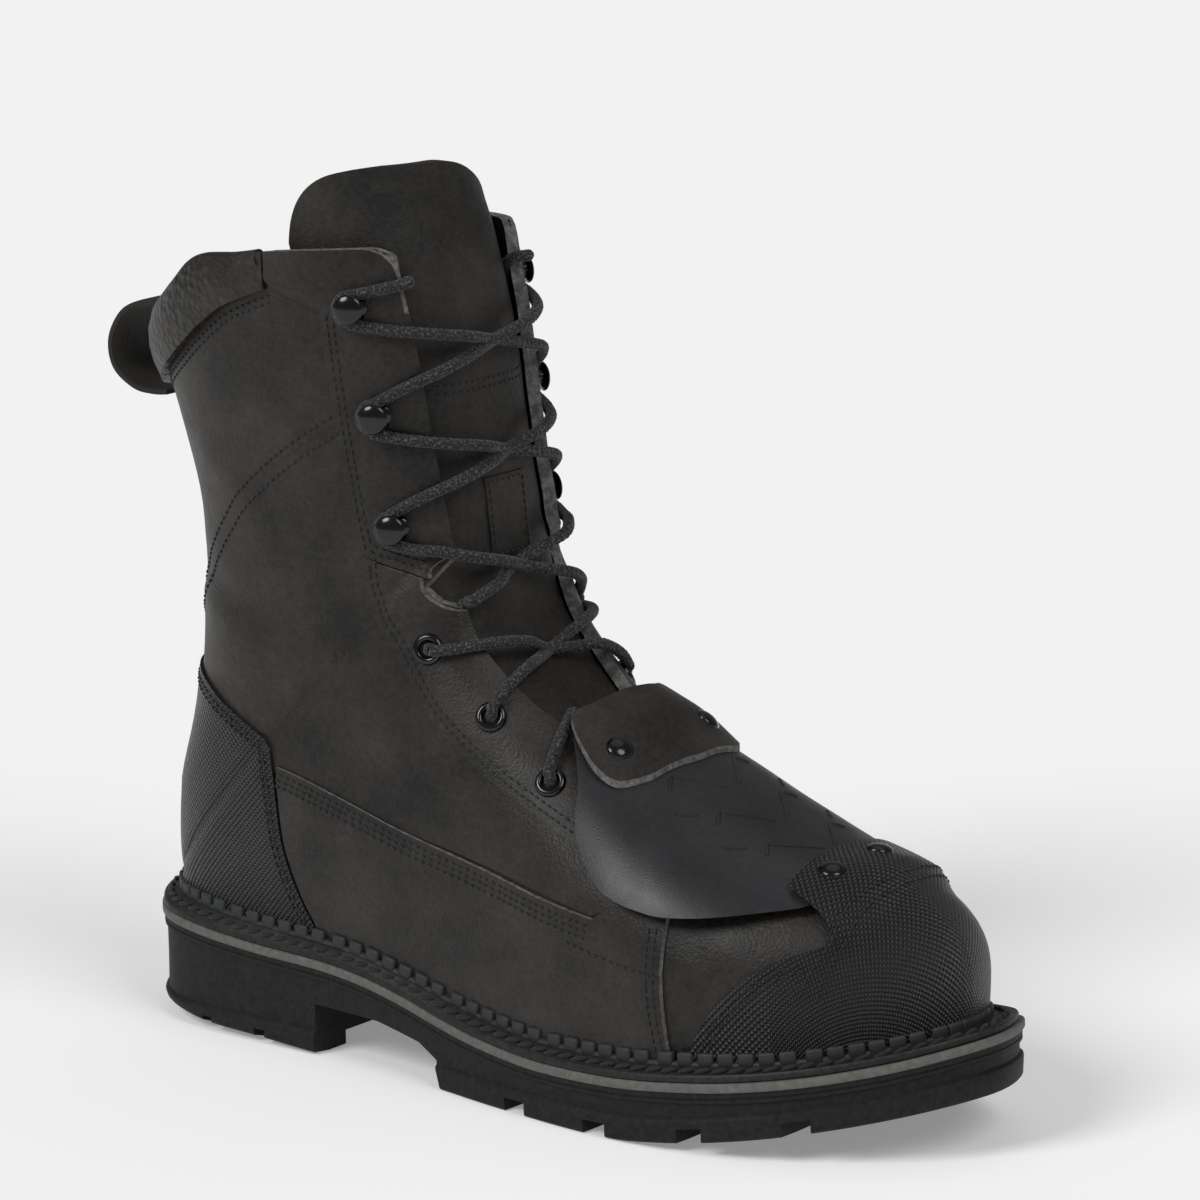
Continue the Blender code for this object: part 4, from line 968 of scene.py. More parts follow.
def finish(name):
    """The boot's materials, made once each from the colours in the panel."""
    if name in FINISHES:
        return FINISHES[name]
    c = bpy.context.scene.boot_colours
    recipes = {
        "oiled_leather": lambda: leather(name, c.leather, c.leather_worn, OILED),
        "pebbled_leather": lambda: leather(name, c.leather, c.leather_worn, PEBBLED),
        "tongue_leather": lambda: leather(name, c.leather, c.leather_worn, TONGUE_SKIN),
        "guard_cover": lambda: leather(name, c.guard, c.guard_worn, GUARD_SKIN),
        "ballistic_fabric": lambda: woven(name, c.fabric, c.fabric_dots, 0.34),
        # Cut edges: the raw leather's own lighter fuzz, lightened further as a painted highlight along the
        # edges
        "raw_edge": lambda: rubber(name, c.raw_edge, c.raw_edge_fuzz_and_highlight, 0.85),
        "dark_edge": lambda: rubber(name, c.leather, c.leather_worn, 0.7),
        "sole_rubber": lambda: rubber(name, c.rubber, c.rubber_dust, 0.66),
        "welt_rubber": lambda: rubber(name, c.welt, c.welt_dust, 0.5, 0.9, 0.12),
        "midsole_strip": lambda: rubber(name, c.strip, c.strip_dust, 0.7, 2.0, 0.04),
        "lining": lambda: rubber(name, c.lining, c.leather, 0.95, 2.0, 0.1),
        "webbing": lambda: webbing_weave(name, c.webbing, c.leather_worn),
        "black_metal": lambda: metal(name, c.metal, 0.18),
        "thread": lambda: braid(name, c.thread, c.thread_light),
        "lace_cord": lambda: braid(name, c.lace, c.lace_fleck),
        "rib_rubber": lambda: rubber(name, c.rib, c.welt_dust, 0.55, 0.9, 0.06),
        # Eyelet discs: flat near-black, painted shade in each bore
        "painted_hole_shade": lambda: new_material(name, PAINTED_HOLE_SHADE, 1.0),
        "floor_pale": lambda: glowing(name, FLOOR_WHITE, FLOOR_GLOW),
    }
    FINISHES[name] = recipes[name]()
    return FINISHES[name]


# The upper's surface


def slope(before, after):
    """A tangent between two steps that never overshoots them."""
    return 0 if before * after <= 0 else 2 * before * after / (before + after)


def between(rows, t):
    """A smooth curve through rows of points, at row t, that never overshoots them."""
    i = min(int(t), len(rows) - 2)
    f = t - i
    p0, p1, p2, p3 = (rows[min(max(i + k, 0), len(rows) - 1)] for k in (-1, 0, 1, 2))
    first, last = i == 0, i == len(rows) - 2
    line = []
    for q0, q1, q2, q3 in zip(p0, p1, p2, p3):
        place = []
        for a0, a1, a2, a3 in zip(q0, q1, q2, q3):
            d = a2 - a1
            a = d if first else slope(a1 - a0, d)
            b = d if last else slope(d, a3 - a2)
            place.append(a1 + a * f + (3 * d - 2 * a - b) * f * f + (a + b - 2 * d) * f**3)
        line.append(Vector(place))
    return line


def flowing(rows, t):
    """A rounder curve through rows of points, which may overshoot them a little."""
    i = min(int(t), len(rows) - 2)
    f = t - i
    p0, p1, p2, p3 = (rows[min(max(i + k, 0), len(rows) - 1)] for k in (-1, 0, 1, 2))
    line = []
    for q0, q1, q2, q3 in zip(p0, p1, p2, p3):
        a, b = (q2 - q0) * 0.5, (q3 - q1) * 0.5
        d = q1 - q2
        line.append(q1 + a * f + (-3 * d - 2 * a - b) * f * f + (2 * d + a + b) * f**3)
    return line


def lofted(
    sections, side, start=None, spans=None, across=ACROSS, per_span=ROW_SPAN, curve=between
):
    """Half of a form as a grid, smooth through its sections."""
    spans = spans or [None] * len(sections)
    rows = [half_section(row, side, across, start, span) for row, span in zip(sections, spans)]
    count = (len(rows) - 1) * per_span
    lines = [curve(rows, k / per_span) for k in range(count + 1)]
    return grid(count, across, lambda u, v: lines[round(u * count)][round(v * across)])


def soften(bm, verts, times):
    for _ in range(times):
        bmesh.ops.smooth_vert(
            bm, verts=verts, factor=0.5, use_axis_x=True, use_axis_y=True, use_axis_z=True
        )


def upper_surface(offset=None, start=None):
    """The upper's outer surface, creased, and moved out by offset(point) where one is given."""
    bm = joined([lofted(SECTIONS, side, start) for side in SIDES.values()])
    inner = [v for v in bm.verts if not v.is_boundary]
    soften(bm, inner, BASE_SOFTENED)
    for low, high, times in SOFTENED:
        near = [v for v in bm.verts if all(a < c / MM < b for a, c, b in zip(low, v.co, high))]
        soften(bm, near, times)
    turn_towards(bm, Vector((0, -1, 0)))
    creases = push_out(bm, crease_depth)
    return push_out(creases, offset) if offset else creases


def crease_depth(p):
    """Soft troughs and ridges in the leather: at the ankle, behind the vamp and on the shaft."""
    depth = 0.0
    for crease in CREASES:
        along = Vector((crease.x2 - crease.x1, 0, crease.z2 - crease.z1))
        length = along.length
        along.normalize()
        rel = Vector((p.x - crease.x1, 0, p.z - crease.z1))
        s = rel.dot(along)
        off = rel.x * along.z - rel.z * along.x
        fade = step(-0.25, 0.15, s / length) * (1 - step(0.85, 1.25, s / length))
        depth += crease.depth * fade * math.exp(-((off / crease.width) ** 2))
    return depth


def guard_surface(offset=lambda p: 0.0):
    spans = [1.0] * len(GUARD_SECTIONS)
    parts = [
        lofted(GUARD_SECTIONS, side, 0.0, spans, GUARD_ACROSS, GUARD_PER_SPAN) for side in SIDES.values()
    ]
    return push_out(turn_towards(joined(parts), Vector((0, 0, 1))), offset)


def half_of(side):
    """Where a pattern is cut on one side of the boot."""
    return (-SIDE_HIGH, -SIDE_LOW) if side == LATERAL else (SIDE_LOW, SIDE_HIGH)


def overlay(
    name, outline, surface, thick, sides=(-SIDE_HIGH, SIDE_HIGH), view="side", edge="raw_edge",
    look="oiled_leather",
):
    """A pattern piece: a slice of a larger form, laid on the upper's own surface, inside an outline."""
    obj = thicken(piece(name, surface, finish(look)), thick)
    obj.data.materials.append(finish(edge))
    obj.modifiers["wall"].material_offset_rim = 1
    cutter = prism(name + "_pattern", outline, *sides, view, finish(edge))
    combine(obj, cutter, "INTERSECT")
    return applied(obj, [cutter])


def rim_line(x_from, x_to):
    """The collar's top line, seen from the side."""
    xs = [x_from + (x_to - x_from) * k / RIM_STEPS for k in range(RIM_STEPS + 1)]
    return [(x, smooth(RIM, x)) for x in xs]


def above_rib(outline_top, x_from, x_to, steps=RIM_STEPS):
    """Closes a pattern outline just above the rib's foot, which covers it."""
    xs = [x_from + (x_to - x_from) * k / steps for k in range(steps + 1)]
    return outline_top + [(x, rib_foot(x) + RIB_OVERLAP) for x in xs]


def cap_offset(p):
    tab = (1 - step(*TAB_ENDS, p.x)) * step(*TAB_CLIMBS, p.z)
    return OVERLAY_GAP + (TAB_RISE - OVERLAY_GAP) * tab


def map_toe(obj):
    """A UV map in millimetres spread out from the toe's crown, so that the weave runs evenly."""
    write_uv(obj, toe_uv)


def toe_uv(p):
    centre = min(p.x, TOE_CENTRE)
    dx, reach = p.x - centre, max(math.hypot(p.x - centre, p.y), 1e-6)
    rise = math.atan2(reach / TOE_HALF, (p.z - TOE_BASE) / TOE_HIGH)
    r = rise / (math.pi / 2) * TOE_ARC
    return centre + dx / reach * r, p.y / reach * r


def map_heel(obj):
    """A UV map in millimetres wrapped round the heel."""
    write_uv(obj, heel_uv)


def heel_uv(p):
    side = 1 if p.y > 0 else -1
    quarter = HEEL_RADIUS * math.pi / 2
    if p.x >= 0:
        return side * (p.x + quarter), p.z
    return side * (quarter - HEEL_RADIUS * math.atan2(-p.x, abs(p.y))), p.z


def write_uv(obj, where):
    layer = obj.data.uv_layers.new(name="weave") if not obj.data.uv_layers else obj.data.uv_layers[0]
    obj.data.uv_layers.active = layer
    for loop in obj.data.loops:
        layer.data[loop.index].uv = where(obj.data.vertices[loop.vertex_index].co / MM)


# Seams and small parts laid on finished pieces


def tree_over(*names):
    """A search tree over several finished pieces."""
    bm = bmesh.new()
    for name in names:
        bm.from_mesh(bpy.data.objects[name].data)
    tree = BVHTree.FromBMesh(bm)
    bm.free()
    return tree


def parallel(path, inset):
    """A path in the pattern's plane moved to its left by inset."""
    line = []
    for i, p in enumerate(path):
        along = (path[min(i + 1, len(path) - 1)] - path[max(i - 1, 0)]).normalized()
        line.append(p + Vector((-along.y, along.x)) * inset)
    return line


def dense_path(points, gap=0.5):
    """Points evenly spread along a polyline."""
    line = [points[0].copy()]
    for a, b in zip(points, points[1:]):
        count = max(1, round((b - a).length / gap))
        line += [a.lerp(b, (k + 1) / count) for k in range(count)]
    return line


def on_side(tree, path, side):
    """A pattern path (x, z) laid on the pieces, met from one side."""
    hits = []
    for p in dense_path(path):
        hit, normal, _, _ = tree.ray_cast(Vector((p.x, side * FAR_OUT, p.y)) * MM, Vector((0, -side, 0)))
        if hit is not None:
            hits.append((hit / MM, normal if normal.y * side > 0 else -normal))
    return hits


def on_top(tree, path):
    """A path (x, y) laid on the pieces, met from above."""
    hits = []
    for p in dense_path(path):
        hit, normal, _, _ = tree.ray_cast(Vector((p.x, p.y, 2 * FAR_OUT)) * MM, Vector((0, 0, -1)))
        if hit is not None:
            hits.append((hit / MM, normal if normal.z > 0 else -normal))
    return hits


def nearest(tree, path):
    """A path in space snapped onto the pieces."""
    hits = []
    for p in dense_path(path):
        hit, normal, _, _ = tree.find_nearest(p * MM)
        if hit is not None:
            hits.append((hit / MM, normal))
    return hits


def add_to(bm, part):
    """Adds one bmesh to another, and frees it."""
    mesh = bpy.data.meshes.new("part")
    part.to_mesh(mesh)
    part.free()
    bm.from_mesh(mesh)
    bpy.data.meshes.remove(mesh)


def stitches(whole, hits, pitch=None, size=None):
    """Adds one rounded thread for each stitch along points on a surface."""
    bm = bmesh.new()
    pitch = pitch or bpy.context.scene.boot_sizes.stitch_pitch / MM
    length, width, height = size or STITCH
    gone = 0.0
    for (a, na), (b, _) in zip(hits, hits[1:]):
        gone += (b - a).length
        if gone < pitch or (b - a).length > pitch:
            continue
        gone = 0.0
        along = (b - a).normalized()
        across = na.cross(along).normalized()
        up = along.cross(across)
        turn = Matrix((along * length, across * width, up * height)).transposed().to_4x4()
        place = Matrix.Translation((a + na * height * STITCH_SUNK) * MM) @ turn
        bmesh.ops.create_uvsphere(bm, u_segments=6, v_segments=4, radius=MM, matrix=place)
    add_to(whole, bm)


def ridge(bm, hits, width, height, every=2):
    """Adds a low rounded ridge along points on a surface."""
    hits = hits[::every] + ([hits[-1]] if (len(hits) - 1) % every else [])
    count = len(hits) - 1

    def place(u, v):
        k = round(u * count)
        p, normal = hits[k]
        along = (hits[min(k + 1, count)][0] - hits[max(k - 1, 0)][0]).normalized()
        across = normal.cross(along).normalized()
        angle = math.pi * 2 * v
        end = 0.02 if k in (0, count) else 1.0
        return p + (across * math.cos(angle) * width / 2 + normal * math.sin(angle) * height) * end

    add_to(bm, cleaned(grid(count, RIDGE_SIDES, place)))


def cleaned(bm, merge=MERGE):
    """Merges a mesh's doubles and turns its faces outwards."""
    bmesh.ops.remove_doubles(bm, verts=bm.verts, dist=merge * MM)
    bmesh.ops.dissolve_degenerate(bm, edges=bm.edges, dist=merge * 0.5 * MM)
    bmesh.ops.recalc_face_normals(bm, faces=bm.faces)
    return bm


def curved(*runs):
    """An outline from runs of points, each run a smooth curve, meeting at sharp corners."""
    outline = []
    for run in runs:
        points = [(p.x, p.y) for p in catmull(run, CURVE_STEPS)] if len(run) > 2 else [tuple(p) for p in run]
        if outline and (Vector(points[0]) - Vector(outline[-1])).length < 0.05:
            points = points[1:]
        outline += points
    return outline


def path(run):
    return catmull(run, CURVE_STEPS)


# The sole


def wrapped(rings, closed_levels=False):
    """A band through closed rings of points; the levels may close on themselves too."""
    around, levels = len(rings[0]), len(rings) - (0 if closed_levels else 1)

    def place(u, v):
        return rings[round(v * levels) % len(rings)][round(u * around) % around]

    return grid(around, levels, place)


def lid(ring, across=6):
    """Closes a ring of points over its two sides."""
    count, half = len(ring), len(ring) // 2

    def place(u, v):
        k = round(u * half)
        return ring[k].lerp(ring[(count - k) % count], v)

    return grid(half, across, place)


def sole_ring(inset, height, per_span=8):
    """A ring of points inside the sole's outline."""
    line = sole_outline(per_span)
    count = len(line)
    ring = []
    for i, p in enumerate(line):
        along = line[(i + 1) % count] - line[i - 1]
        q = p + Vector((-along.y, along.x)).normalized() * inset
        ring.append(Vector((q.x, q.y, height(q.x))))
    return ring


def ring_solid(name, levels, look):
    """A slab over the sole's outline, through levels of (inset, height function), from the top down."""
    rings = [sole_ring(inset, height) for inset, height in levels]
    return piece(name, joined([wrapped(rings), lid(rings[0]), lid(rings[-1])]), look)


def tread_cutter():
    """Grooves between the lugs: side slots, two long grooves down the forefoot, and the heel's pad."""
    sides = SIDES.values()
    slots = [[(x + a, side * b) for a, b in FOREFOOT_SLOT] for x in FOREFOOT_SLOTS for side in sides]
    slots += [[(x + a, side * b) for a, b in HEEL_SLOT] for x in HEEL_SLOTS for side in sides]
    slots += [[(x, side * y) for x, y in LONG_GROOVE] for side in sides]
    slots += [HEEL_SPACE, HEEL_GROOVE]
    slots += [[(x + a, b) for a, b in CHEVRON] for x in CHEVRONS]
    look = finish("sole_rubber")
    heel_pad = prism("heel_pad", HEEL_PAD, GROOVE_LOW - 10, GROOVE_HIGH, "above", look)
    band = [(x, ground(x) + LUG_DEPTH) for x in TREAD_STATIONS]
    band += [(TREAD_STATIONS[-1], -30), (TREAD_STATIONS[0], -30)]
    base = prism("tread_band", band, -100, 100, "side", look)
    pattern = prism("groove_0", slots[0], GROOVE_LOW, GROOVE_HIGH, "above", look)
    cutters = [heel_pad, base]
    for k, outline in enumerate(slots[1:], 1):
        apart = 0.1 * k
        groove = prism(f"groove_{k}", outline, GROOVE_LOW - apart, GROOVE_HIGH + apart, "above", look)
        cutters.append(groove)
        combine(pattern, groove, "UNION")
    combine(pattern, heel_pad, "DIFFERENCE")
    combine(pattern, base, "INTERSECT")
    return applied(pattern, cutters)


def rim_stations(count):
    """Evenly spaced points on the sole's outline with their outward directions."""
    line = OUTLINE
    lengths = [0.0]
    for i in range(len(line)):
        lengths.append(lengths[-1] + (line[(i + 1) % len(line)] - line[i]).length)
    total = lengths[-1]
    stations = []
    i = 0
    for k in range(count):
        at = total * k / count
        while lengths[i + 1] < at:
            i += 1
        a, b = line[i], line[(i + 1) % len(line)]
        p = a.lerp(b, (at - lengths[i]) / (lengths[i + 1] - lengths[i]))
        before, after = line[i - 1], line[(i + 2) % len(line)]
        along = ((b - a).normalized() + (after - before).normalized()).normalized()
        stations.append((p, Vector((along.y, -along.x))))
    return stations


def walls(count):
    """For each station round the sole: the point on the edge, its outward direction, and the wall."""
    surface = upper_surface()
    tree = BVHTree.FromBMesh(surface)
    surface.free()
    found = []
    for p, outward in rim_stations(count):
        reach = []
        top = rib_top(p.x)
        for height in (top, top - RIB_HEIGHT / 2, top - RIB_HEIGHT):
            start = Vector((*(p + outward * 20), height)) * MM
            hit = tree.ray_cast(start, Vector((*(-outward), 0)))[0]
            if hit is not None:
                reach.append((Vector((hit.x, hit.y)) / MM - p).dot(outward))
        found.append((p, outward, max(reach)))
    count = len(found)
    even = []
    for k, (p, outward, _) in enumerate(found):
        near = [found[(k + d) % count][2] for d in (-2, -1, 0, 1, 2)]
        even.append((p, outward, p + outward * (sum(near) / len(near))))
    return even


def raised(q, z):
    return Vector((q.x, q.y, z))


# Hardware


def spun(profile, steps=28):
    """A turned solid from a profile of (radius, height) points."""
    bm = bmesh.new()
    verts = [bm.verts.new((r * MM, 0, z * MM)) for r, z in profile]
    edges = [bm.edges.new(pair) for pair in zip(verts, verts[1:])]
    if profile[0][0] > 0:
        edges.append(bm.edges.new((verts[-1], verts[0])))
    bmesh.ops.spin(
        bm, geom=verts + edges, cent=(0, 0, 0), axis=(0, 0, 1), angle=math.tau, steps=steps, use_merge=True
    )
    bmesh.ops.remove_doubles(bm, verts=bm.verts, dist=0.005 * MM)
    bmesh.ops.recalc_face_normals(bm, faces=bm.faces)
    return bm


def standing(bm, point, normal):
    """Stands a bmesh made along +Z at a point, along a normal."""
    turn = Vector(normal).to_track_quat("Z", "Y").to_matrix().to_4x4()
    bmesh.ops.transform(bm, matrix=Matrix.Translation(Vector(point) * MM) @ turn, verts=bm.verts)
    return bm


def on_surface(tree, spot, side):
    """The point and outward normal of a surface near a spot, met from the front and above."""
    x, y, z = spot
    aim = Vector((0.8, 0, 0.6))
    hit, normal, _, _ = tree.ray_cast((Vector((x, side * y, z)) + aim * AIM_BACK) * MM, -aim)
    return hit / MM, normal if normal.dot(aim) > 0 else -normal


def turns_of_lace():
    """Where the lace turns: the point and normal at each hook and eyelet."""
    outer = upper_surface(lambda p: OVERLAY_GAP + OVERLAY)
    tree = BVHTree.FromBMesh(outer)
    outer.free()
    turns = {}
    for side in SIDES.values():
        for k, spot in enumerate(HOOKS, 1):
            turns["hook", side, k] = on_surface(tree, spot, side)
        for k, spot in enumerate(EYELETS, 1):
            turns["eyelet", side, k] = on_surface(tree, spot, side)
    return turns


# The laces


def around(turn, coming, going):
    """Points of a lace that goes round a hook's neck, on the side away from both strands."""
    point, normal = turn
    centre = point + normal * HOOK_LACE
    toward = (coming - centre).normalized() + (going - centre).normalized()
    back = -(toward - normal * toward.dot(normal)).normalized()
    first = normal.cross(back).normalized()
    if first.dot(coming - centre) < first.dot(going - centre):
        first = -first
    angles = [math.radians(a) for a in (-100, -60, -20, 20, 60, 100)]
    return [centre + (back * math.cos(a) - first * math.sin(a)) * (HOOK_NECK + LACE_R + 0.1) for a in angles]


def from_outside(skin, p):
    """The upper's closed surface near a point, met from in front of the throat."""
    lean = math.radians(smooth(LACE_LEAN, p.z))
    aim = Vector((math.cos(lean), p.y / LEAN_WIDE, math.sin(lean))).normalized()
    hit, normal, _, _ = skin.ray_cast((p + aim * AIM_BACK) * MM, -aim)
    return hit, normal if normal.dot(aim) > 0 else -normal


def hidden_end(skin, side, spot):
    """A strand's end, from inside the throat's edge out onto the tongue."""
    x, z = spot
    points = []
    for past, lift, up in HIDING:
        y = side * (smooth(THROAT_EDGE, z) + past)
        hit, normal = from_outside(skin, Vector((x, y, z + up)))
        points.append(hit / MM + normal * lift)
    return points


def laid(skin, start, end, over=0.0, steps=14):
    """The points between two ends of a strand, laid over the facings and the tongue."""
    points = []
    for k in range(1, steps):
        t = (1 - math.cos(math.pi * k / steps)) / 2
        p = start.lerp(end, t)
        hit, normal = from_outside(skin, p)
        edge = smooth(THROAT_EDGE, p.z)
        rise = step(edge - LIFT_FROM, edge - LIFT_TO, abs(hit.y) / MM)
        lift = TONGUE_LIFT + (FACING_LIFT - TONGUE_LIFT) * rise
        bulge = over * math.exp(-(((t - 0.5) / OVERLAP_WIDTH) ** 2))
        points.append(hit / MM + normal * (lift + bulge))
    return points


def lace_route(skin, turns, stops):
    """A strand's points past its stops: a hook, an eyelet it goes through, or a point of its own."""
    places = []
    for stop in stops:
        if stop in turns:
            point, normal = turns[stop]
            places.append(point + normal * (HOOK_LACE if stop[0] == "hook" else EYELET_LACE))
        elif stop[0] == "tuck":
            places.append(hidden_end(skin, *stop[1:])[-1])
        else:
            places.append(Vector(stop))
    route = []
    for k, stop in enumerate(stops):
        if stop in turns and stop[0] == "hook":
            bend = around(turns[stop], places[k - 1], places[k + 1])
        elif stop in turns:
            point, normal = turns[stop]
            toward = (places[k - 1] if k else places[1]) - places[k]
            toward = (toward - normal * toward.dot(normal)).normalized()
            through = [point + normal * up + toward * on for up, on in EYELET_PATH]
            through.append(places[k] + toward * EYELET_OUT)
            bend = through[::-1] if k else through
        elif stop[0] == "tuck":
            bend = hidden_end(skin, *stop[1:])
            bend = bend[::-1] if k else bend
        else:
            bend = [places[k]]
        if route:
            route += laid(skin, route[-1], bend[0], OVERLAP.get(k, 0.0) if len(stops) > 2 else OVERLAP[1])
        route += bend
    return route


def even_steps(points, gap):
    """Points evenly spaced along a smooth curve through a route."""
    dense = catmull(points, 8)
    line, gone = [dense[0]], 0.0
    for a, b in zip(dense, dense[1:]):
        length = (b - a).length
        while gone + length >= gap:
            a = a.lerp(b, (gap - gone) / length)
            line.append(a)
            length = (b - a).length
            gone = 0.0
        gone += length
    return line


def tube(route, radius, sides=LACE_SIDES, braided=True):
    """A cord along a route: its braid stands out where the yarns cross."""
    line = even_steps(route, LACE_STEP)
    count = len(line) - 1
    frames = []
    up = Vector((0.3, 0.2, 1)).normalized()
    for k, p in enumerate(line):
        along = (line[min(k + 1, count)] - line[max(k - 1, 0)]).normalized()
        side = up.cross(along).normalized()
        up = along.cross(side).normalized()
        frames.append((p, side, up))

    def place(u, v):
        k = round(u * count)
        p, side, rise = frames[k]
        angle = math.tau * v
        r = radius
        if braided:
            along = math.tau * k * LACE_STEP / BRAID_PITCH
            yarn = max(math.sin(2 * angle + along * 2), math.sin(2 * angle - along * 2 + BRAID_PHASE))
            r = radius * (BRAID_LOW + BRAID_RISE * yarn)
        if k in (0, count):
            r = 0.0
        return p + (side * math.cos(angle) + rise * math.sin(angle)) * r

    bm = grid(count, sides, place)
    layer = bm.loops.layers.uv.new("along")
    for face in bm.faces:
        for loop in face.loops:
            loop[layer].uv = (0, 0)
    return bm, count


def along_lace(bm, count, sides, start):
    """Writes the UV map of a tube made on a grid: millimetres along it, and once round it."""
    layer = bm.loops.layers.uv["along"]
    bm.verts.ensure_lookup_table()
    for face in bm.faces:
        rounds = [(loop.vert.index % (count + 1), loop.vert.index // (count + 1)) for loop in face.loops]
        for loop, (k, j) in zip(face.loops, rounds):
            loop[layer].uv = (start + k * LACE_STEP, j / sides)


def pad_offset(p):
    """The padded collar swells between its seam and its top."""
    rim = smooth(RIM, p.x)
    seam = min(smooth(COLLAR_LINE, p.x), rim - PAD_LEAST)
    t = min(1.0, max(0.0, (p.z - seam) / (rim - seam)))
    swell = PAD_SWELL * math.sin(math.pi * min(1.0, t * 1.02)) - PAD_TUCK * step(0.8, 1.0, t)
    return OVERLAY_GAP + swell * (1 - step(18, 33, p.x)) - PAD_UNDER * step(24, 34, p.x)


def rolled_rim(front_x):
    """A soft roll along the collar's top, from one facing round the back to the other."""
    rows = SECTIONS[-8:]
    line = []
    for side in (LATERAL, MEDIAL):
        surface = [half_section(row, side, ACROSS) for row in rows]
        ring = []
        for k in range(ACROSS + 1):
            column = [r[k] for r in surface]
            for a, b in zip(column, column[1:]):
                ra, rb = a.z - smooth(RIM, a.x), b.z - smooth(RIM, b.x)
                if ra <= 0 < rb:
                    ring.append(a.lerp(b, ra / (ra - rb)))
                    break
        ring = [p for p in ring if p.x < front_x]
        line += ring if side == LATERAL else ring[::-1][1:]
    centred = []
    for i, p in enumerate(line):
        a, b = line[max(i - 1, 0)], line[min(i + 1, len(line) - 1)]
        along = (b - a).normalized()
        inward = Vector((-along.y, along.x, 0)).normalized()
        if inward.dot(Vector((30, 0, 0)) - Vector((p.x, p.y, 0))) < 0:
            inward = -inward
        centred.append(p + inward * 0.2 - Vector((0, 0, ROLL_DROP)))
    return tube(centred, ROLL_R, ROLL_SIDES, braided=False)


def laid_patch(tree, corners, thick):
    """A plain patch with rounded corners, laid on the tongue's front."""
    (y0, z0), (y1, _), (_, z1), _ = corners
    half_y, half_z = (y1 - y0) / 2, (z1 - z0) / 2
    bm = grid(16, 20, lambda u, v: Vector((FAR_OUT, y0 + 2 * half_y * u, z0 + 2 * half_z * v)))
    for v in bm.verts:
        hit, _, _, _ = tree.ray_cast(v.co, Vector((-1, 0, 0)))
        v.co = hit
    turn_towards(cleaned(bm, 0.001), Vector((1, 0, 0.2)))
    for v in bm.verts:
        v.co -= v.normal * PATCH_SUNK * MM
    patch = thicken(piece("patch_leather", bm, finish("tongue_leather")), thick + PATCH_SUNK)
    soft = patch.modifiers.new("edge", "BEVEL")
    soft.width = 0.35 * MM
    soft.segments = 2
    soft.limit_method = "ANGLE"
    soft.angle_limit = math.radians(50)
    return applied(patch)


def inset_patch(corners, inset):
    (y0, z0), (y1, _), (_, z1), _ = corners
    y0, y1, z0, z1 = y0 + inset, y1 - inset, z0 + inset, z1 - inset
    return [(y0, z0), (y1, z0), (y1, z1), (y0, z1), (y0, z0)]


def from_front(tree, line):
    """A path laid on the pieces, met from the front."""
    hits = []
    for p in dense_path(line):
        hit, normal, _, _ = tree.ray_cast(p * MM, Vector((-1, 0, 0)))
        if hit is not None:
            hits.append((hit / MM, normal if normal.x > 0 else -normal))
    return hits


def throat_line(side, first, last, inset):
    """A line inside the throat's edge, through the sections from first to last."""
    line = []
    for row in SECTIONS[first : last + 1]:
        gone = 0.0
        points = half_section(row, side, 4 * ACROSS)
        for a, b in zip(points, points[1:]):
            length_here = (b - a).length
            if gone + length_here >= inset:
                line.append(a.lerp(b, (inset - gone) / length_here))
                break
            gone += length_here
    return catmull(line, CURVE_STEPS)


def twisted(bm, hits, pitch, size):
    """Adds coarse slanted stitches along points, as on a welt."""
    long_r, wide, high = size
    gone = 0.0
    for (a, na), (b, _) in zip(hits, hits[1:]):
        gone += (b - a).length
        if gone < pitch:
            continue
        gone = 0.0
        along = (b - a).normalized()
        across = na.cross(along).normalized()
        slant = (along + across * 0.28).normalized()
        beside = na.cross(slant).normalized()
        turn = Matrix((slant * long_r, beside * wide, na * high)).transposed().to_4x4()
        place = Matrix.Translation((a + na * 0.1) * MM) @ turn
        bmesh.ops.create_uvsphere(bm, u_segments=8, v_segments=6, radius=MM, matrix=place)


def add_cog(bm, at, after):
    """Adds one rounded cog of the rib, leaning along the wall."""
    _, outward, wall = at
    foot = rib_foot(wall.x)
    other = rib_foot(after[2].x)
    along = raised(after[2], other) - raised(wall, foot)
    along.normalize()
    out = Vector((*outward, 0))
    out = (out - along * out.dot(along)).normalized()
    up = along.cross(out) if along.cross(out).z > 0 else out.cross(along)
    centre = raised(wall + outward * (RIB_THICK / 2 + RIB_GAP / 2), foot + RIB_HEIGHT / 2 - 0.2)
    sides = (along * COG_LENGTH, out * (RIB_THICK + RIB_GAP + 0.15), up * (RIB_HEIGHT + 0.2))
    turn = Matrix(sides).transposed().to_4x4()
    made = bmesh.ops.create_cube(bm, size=MM, matrix=Matrix.Translation(centre * MM) @ turn)
    edges = list({e for v in made["verts"] for e in v.link_edges})
    bmesh.ops.bevel(
        bm, geom=edges, offset=COG_BEVEL * MM, segments=2, affect="EDGES", profile=0.5, material=-1
    )


# What a user would change


def colour(name, text, value):
    return bpy.props.FloatVectorProperty(
        name=name, description=text, subtype="COLOR", size=3, min=0.0, max=1.0, default=value
    )


def length(name, text, value, low, high):
    return bpy.props.FloatProperty(
        name=name,
        description=text,
        unit="LENGTH",
        subtype="DISTANCE",
        precision=4,
        min=low * MM,
        max=high * MM,
        default=value * MM,
    )


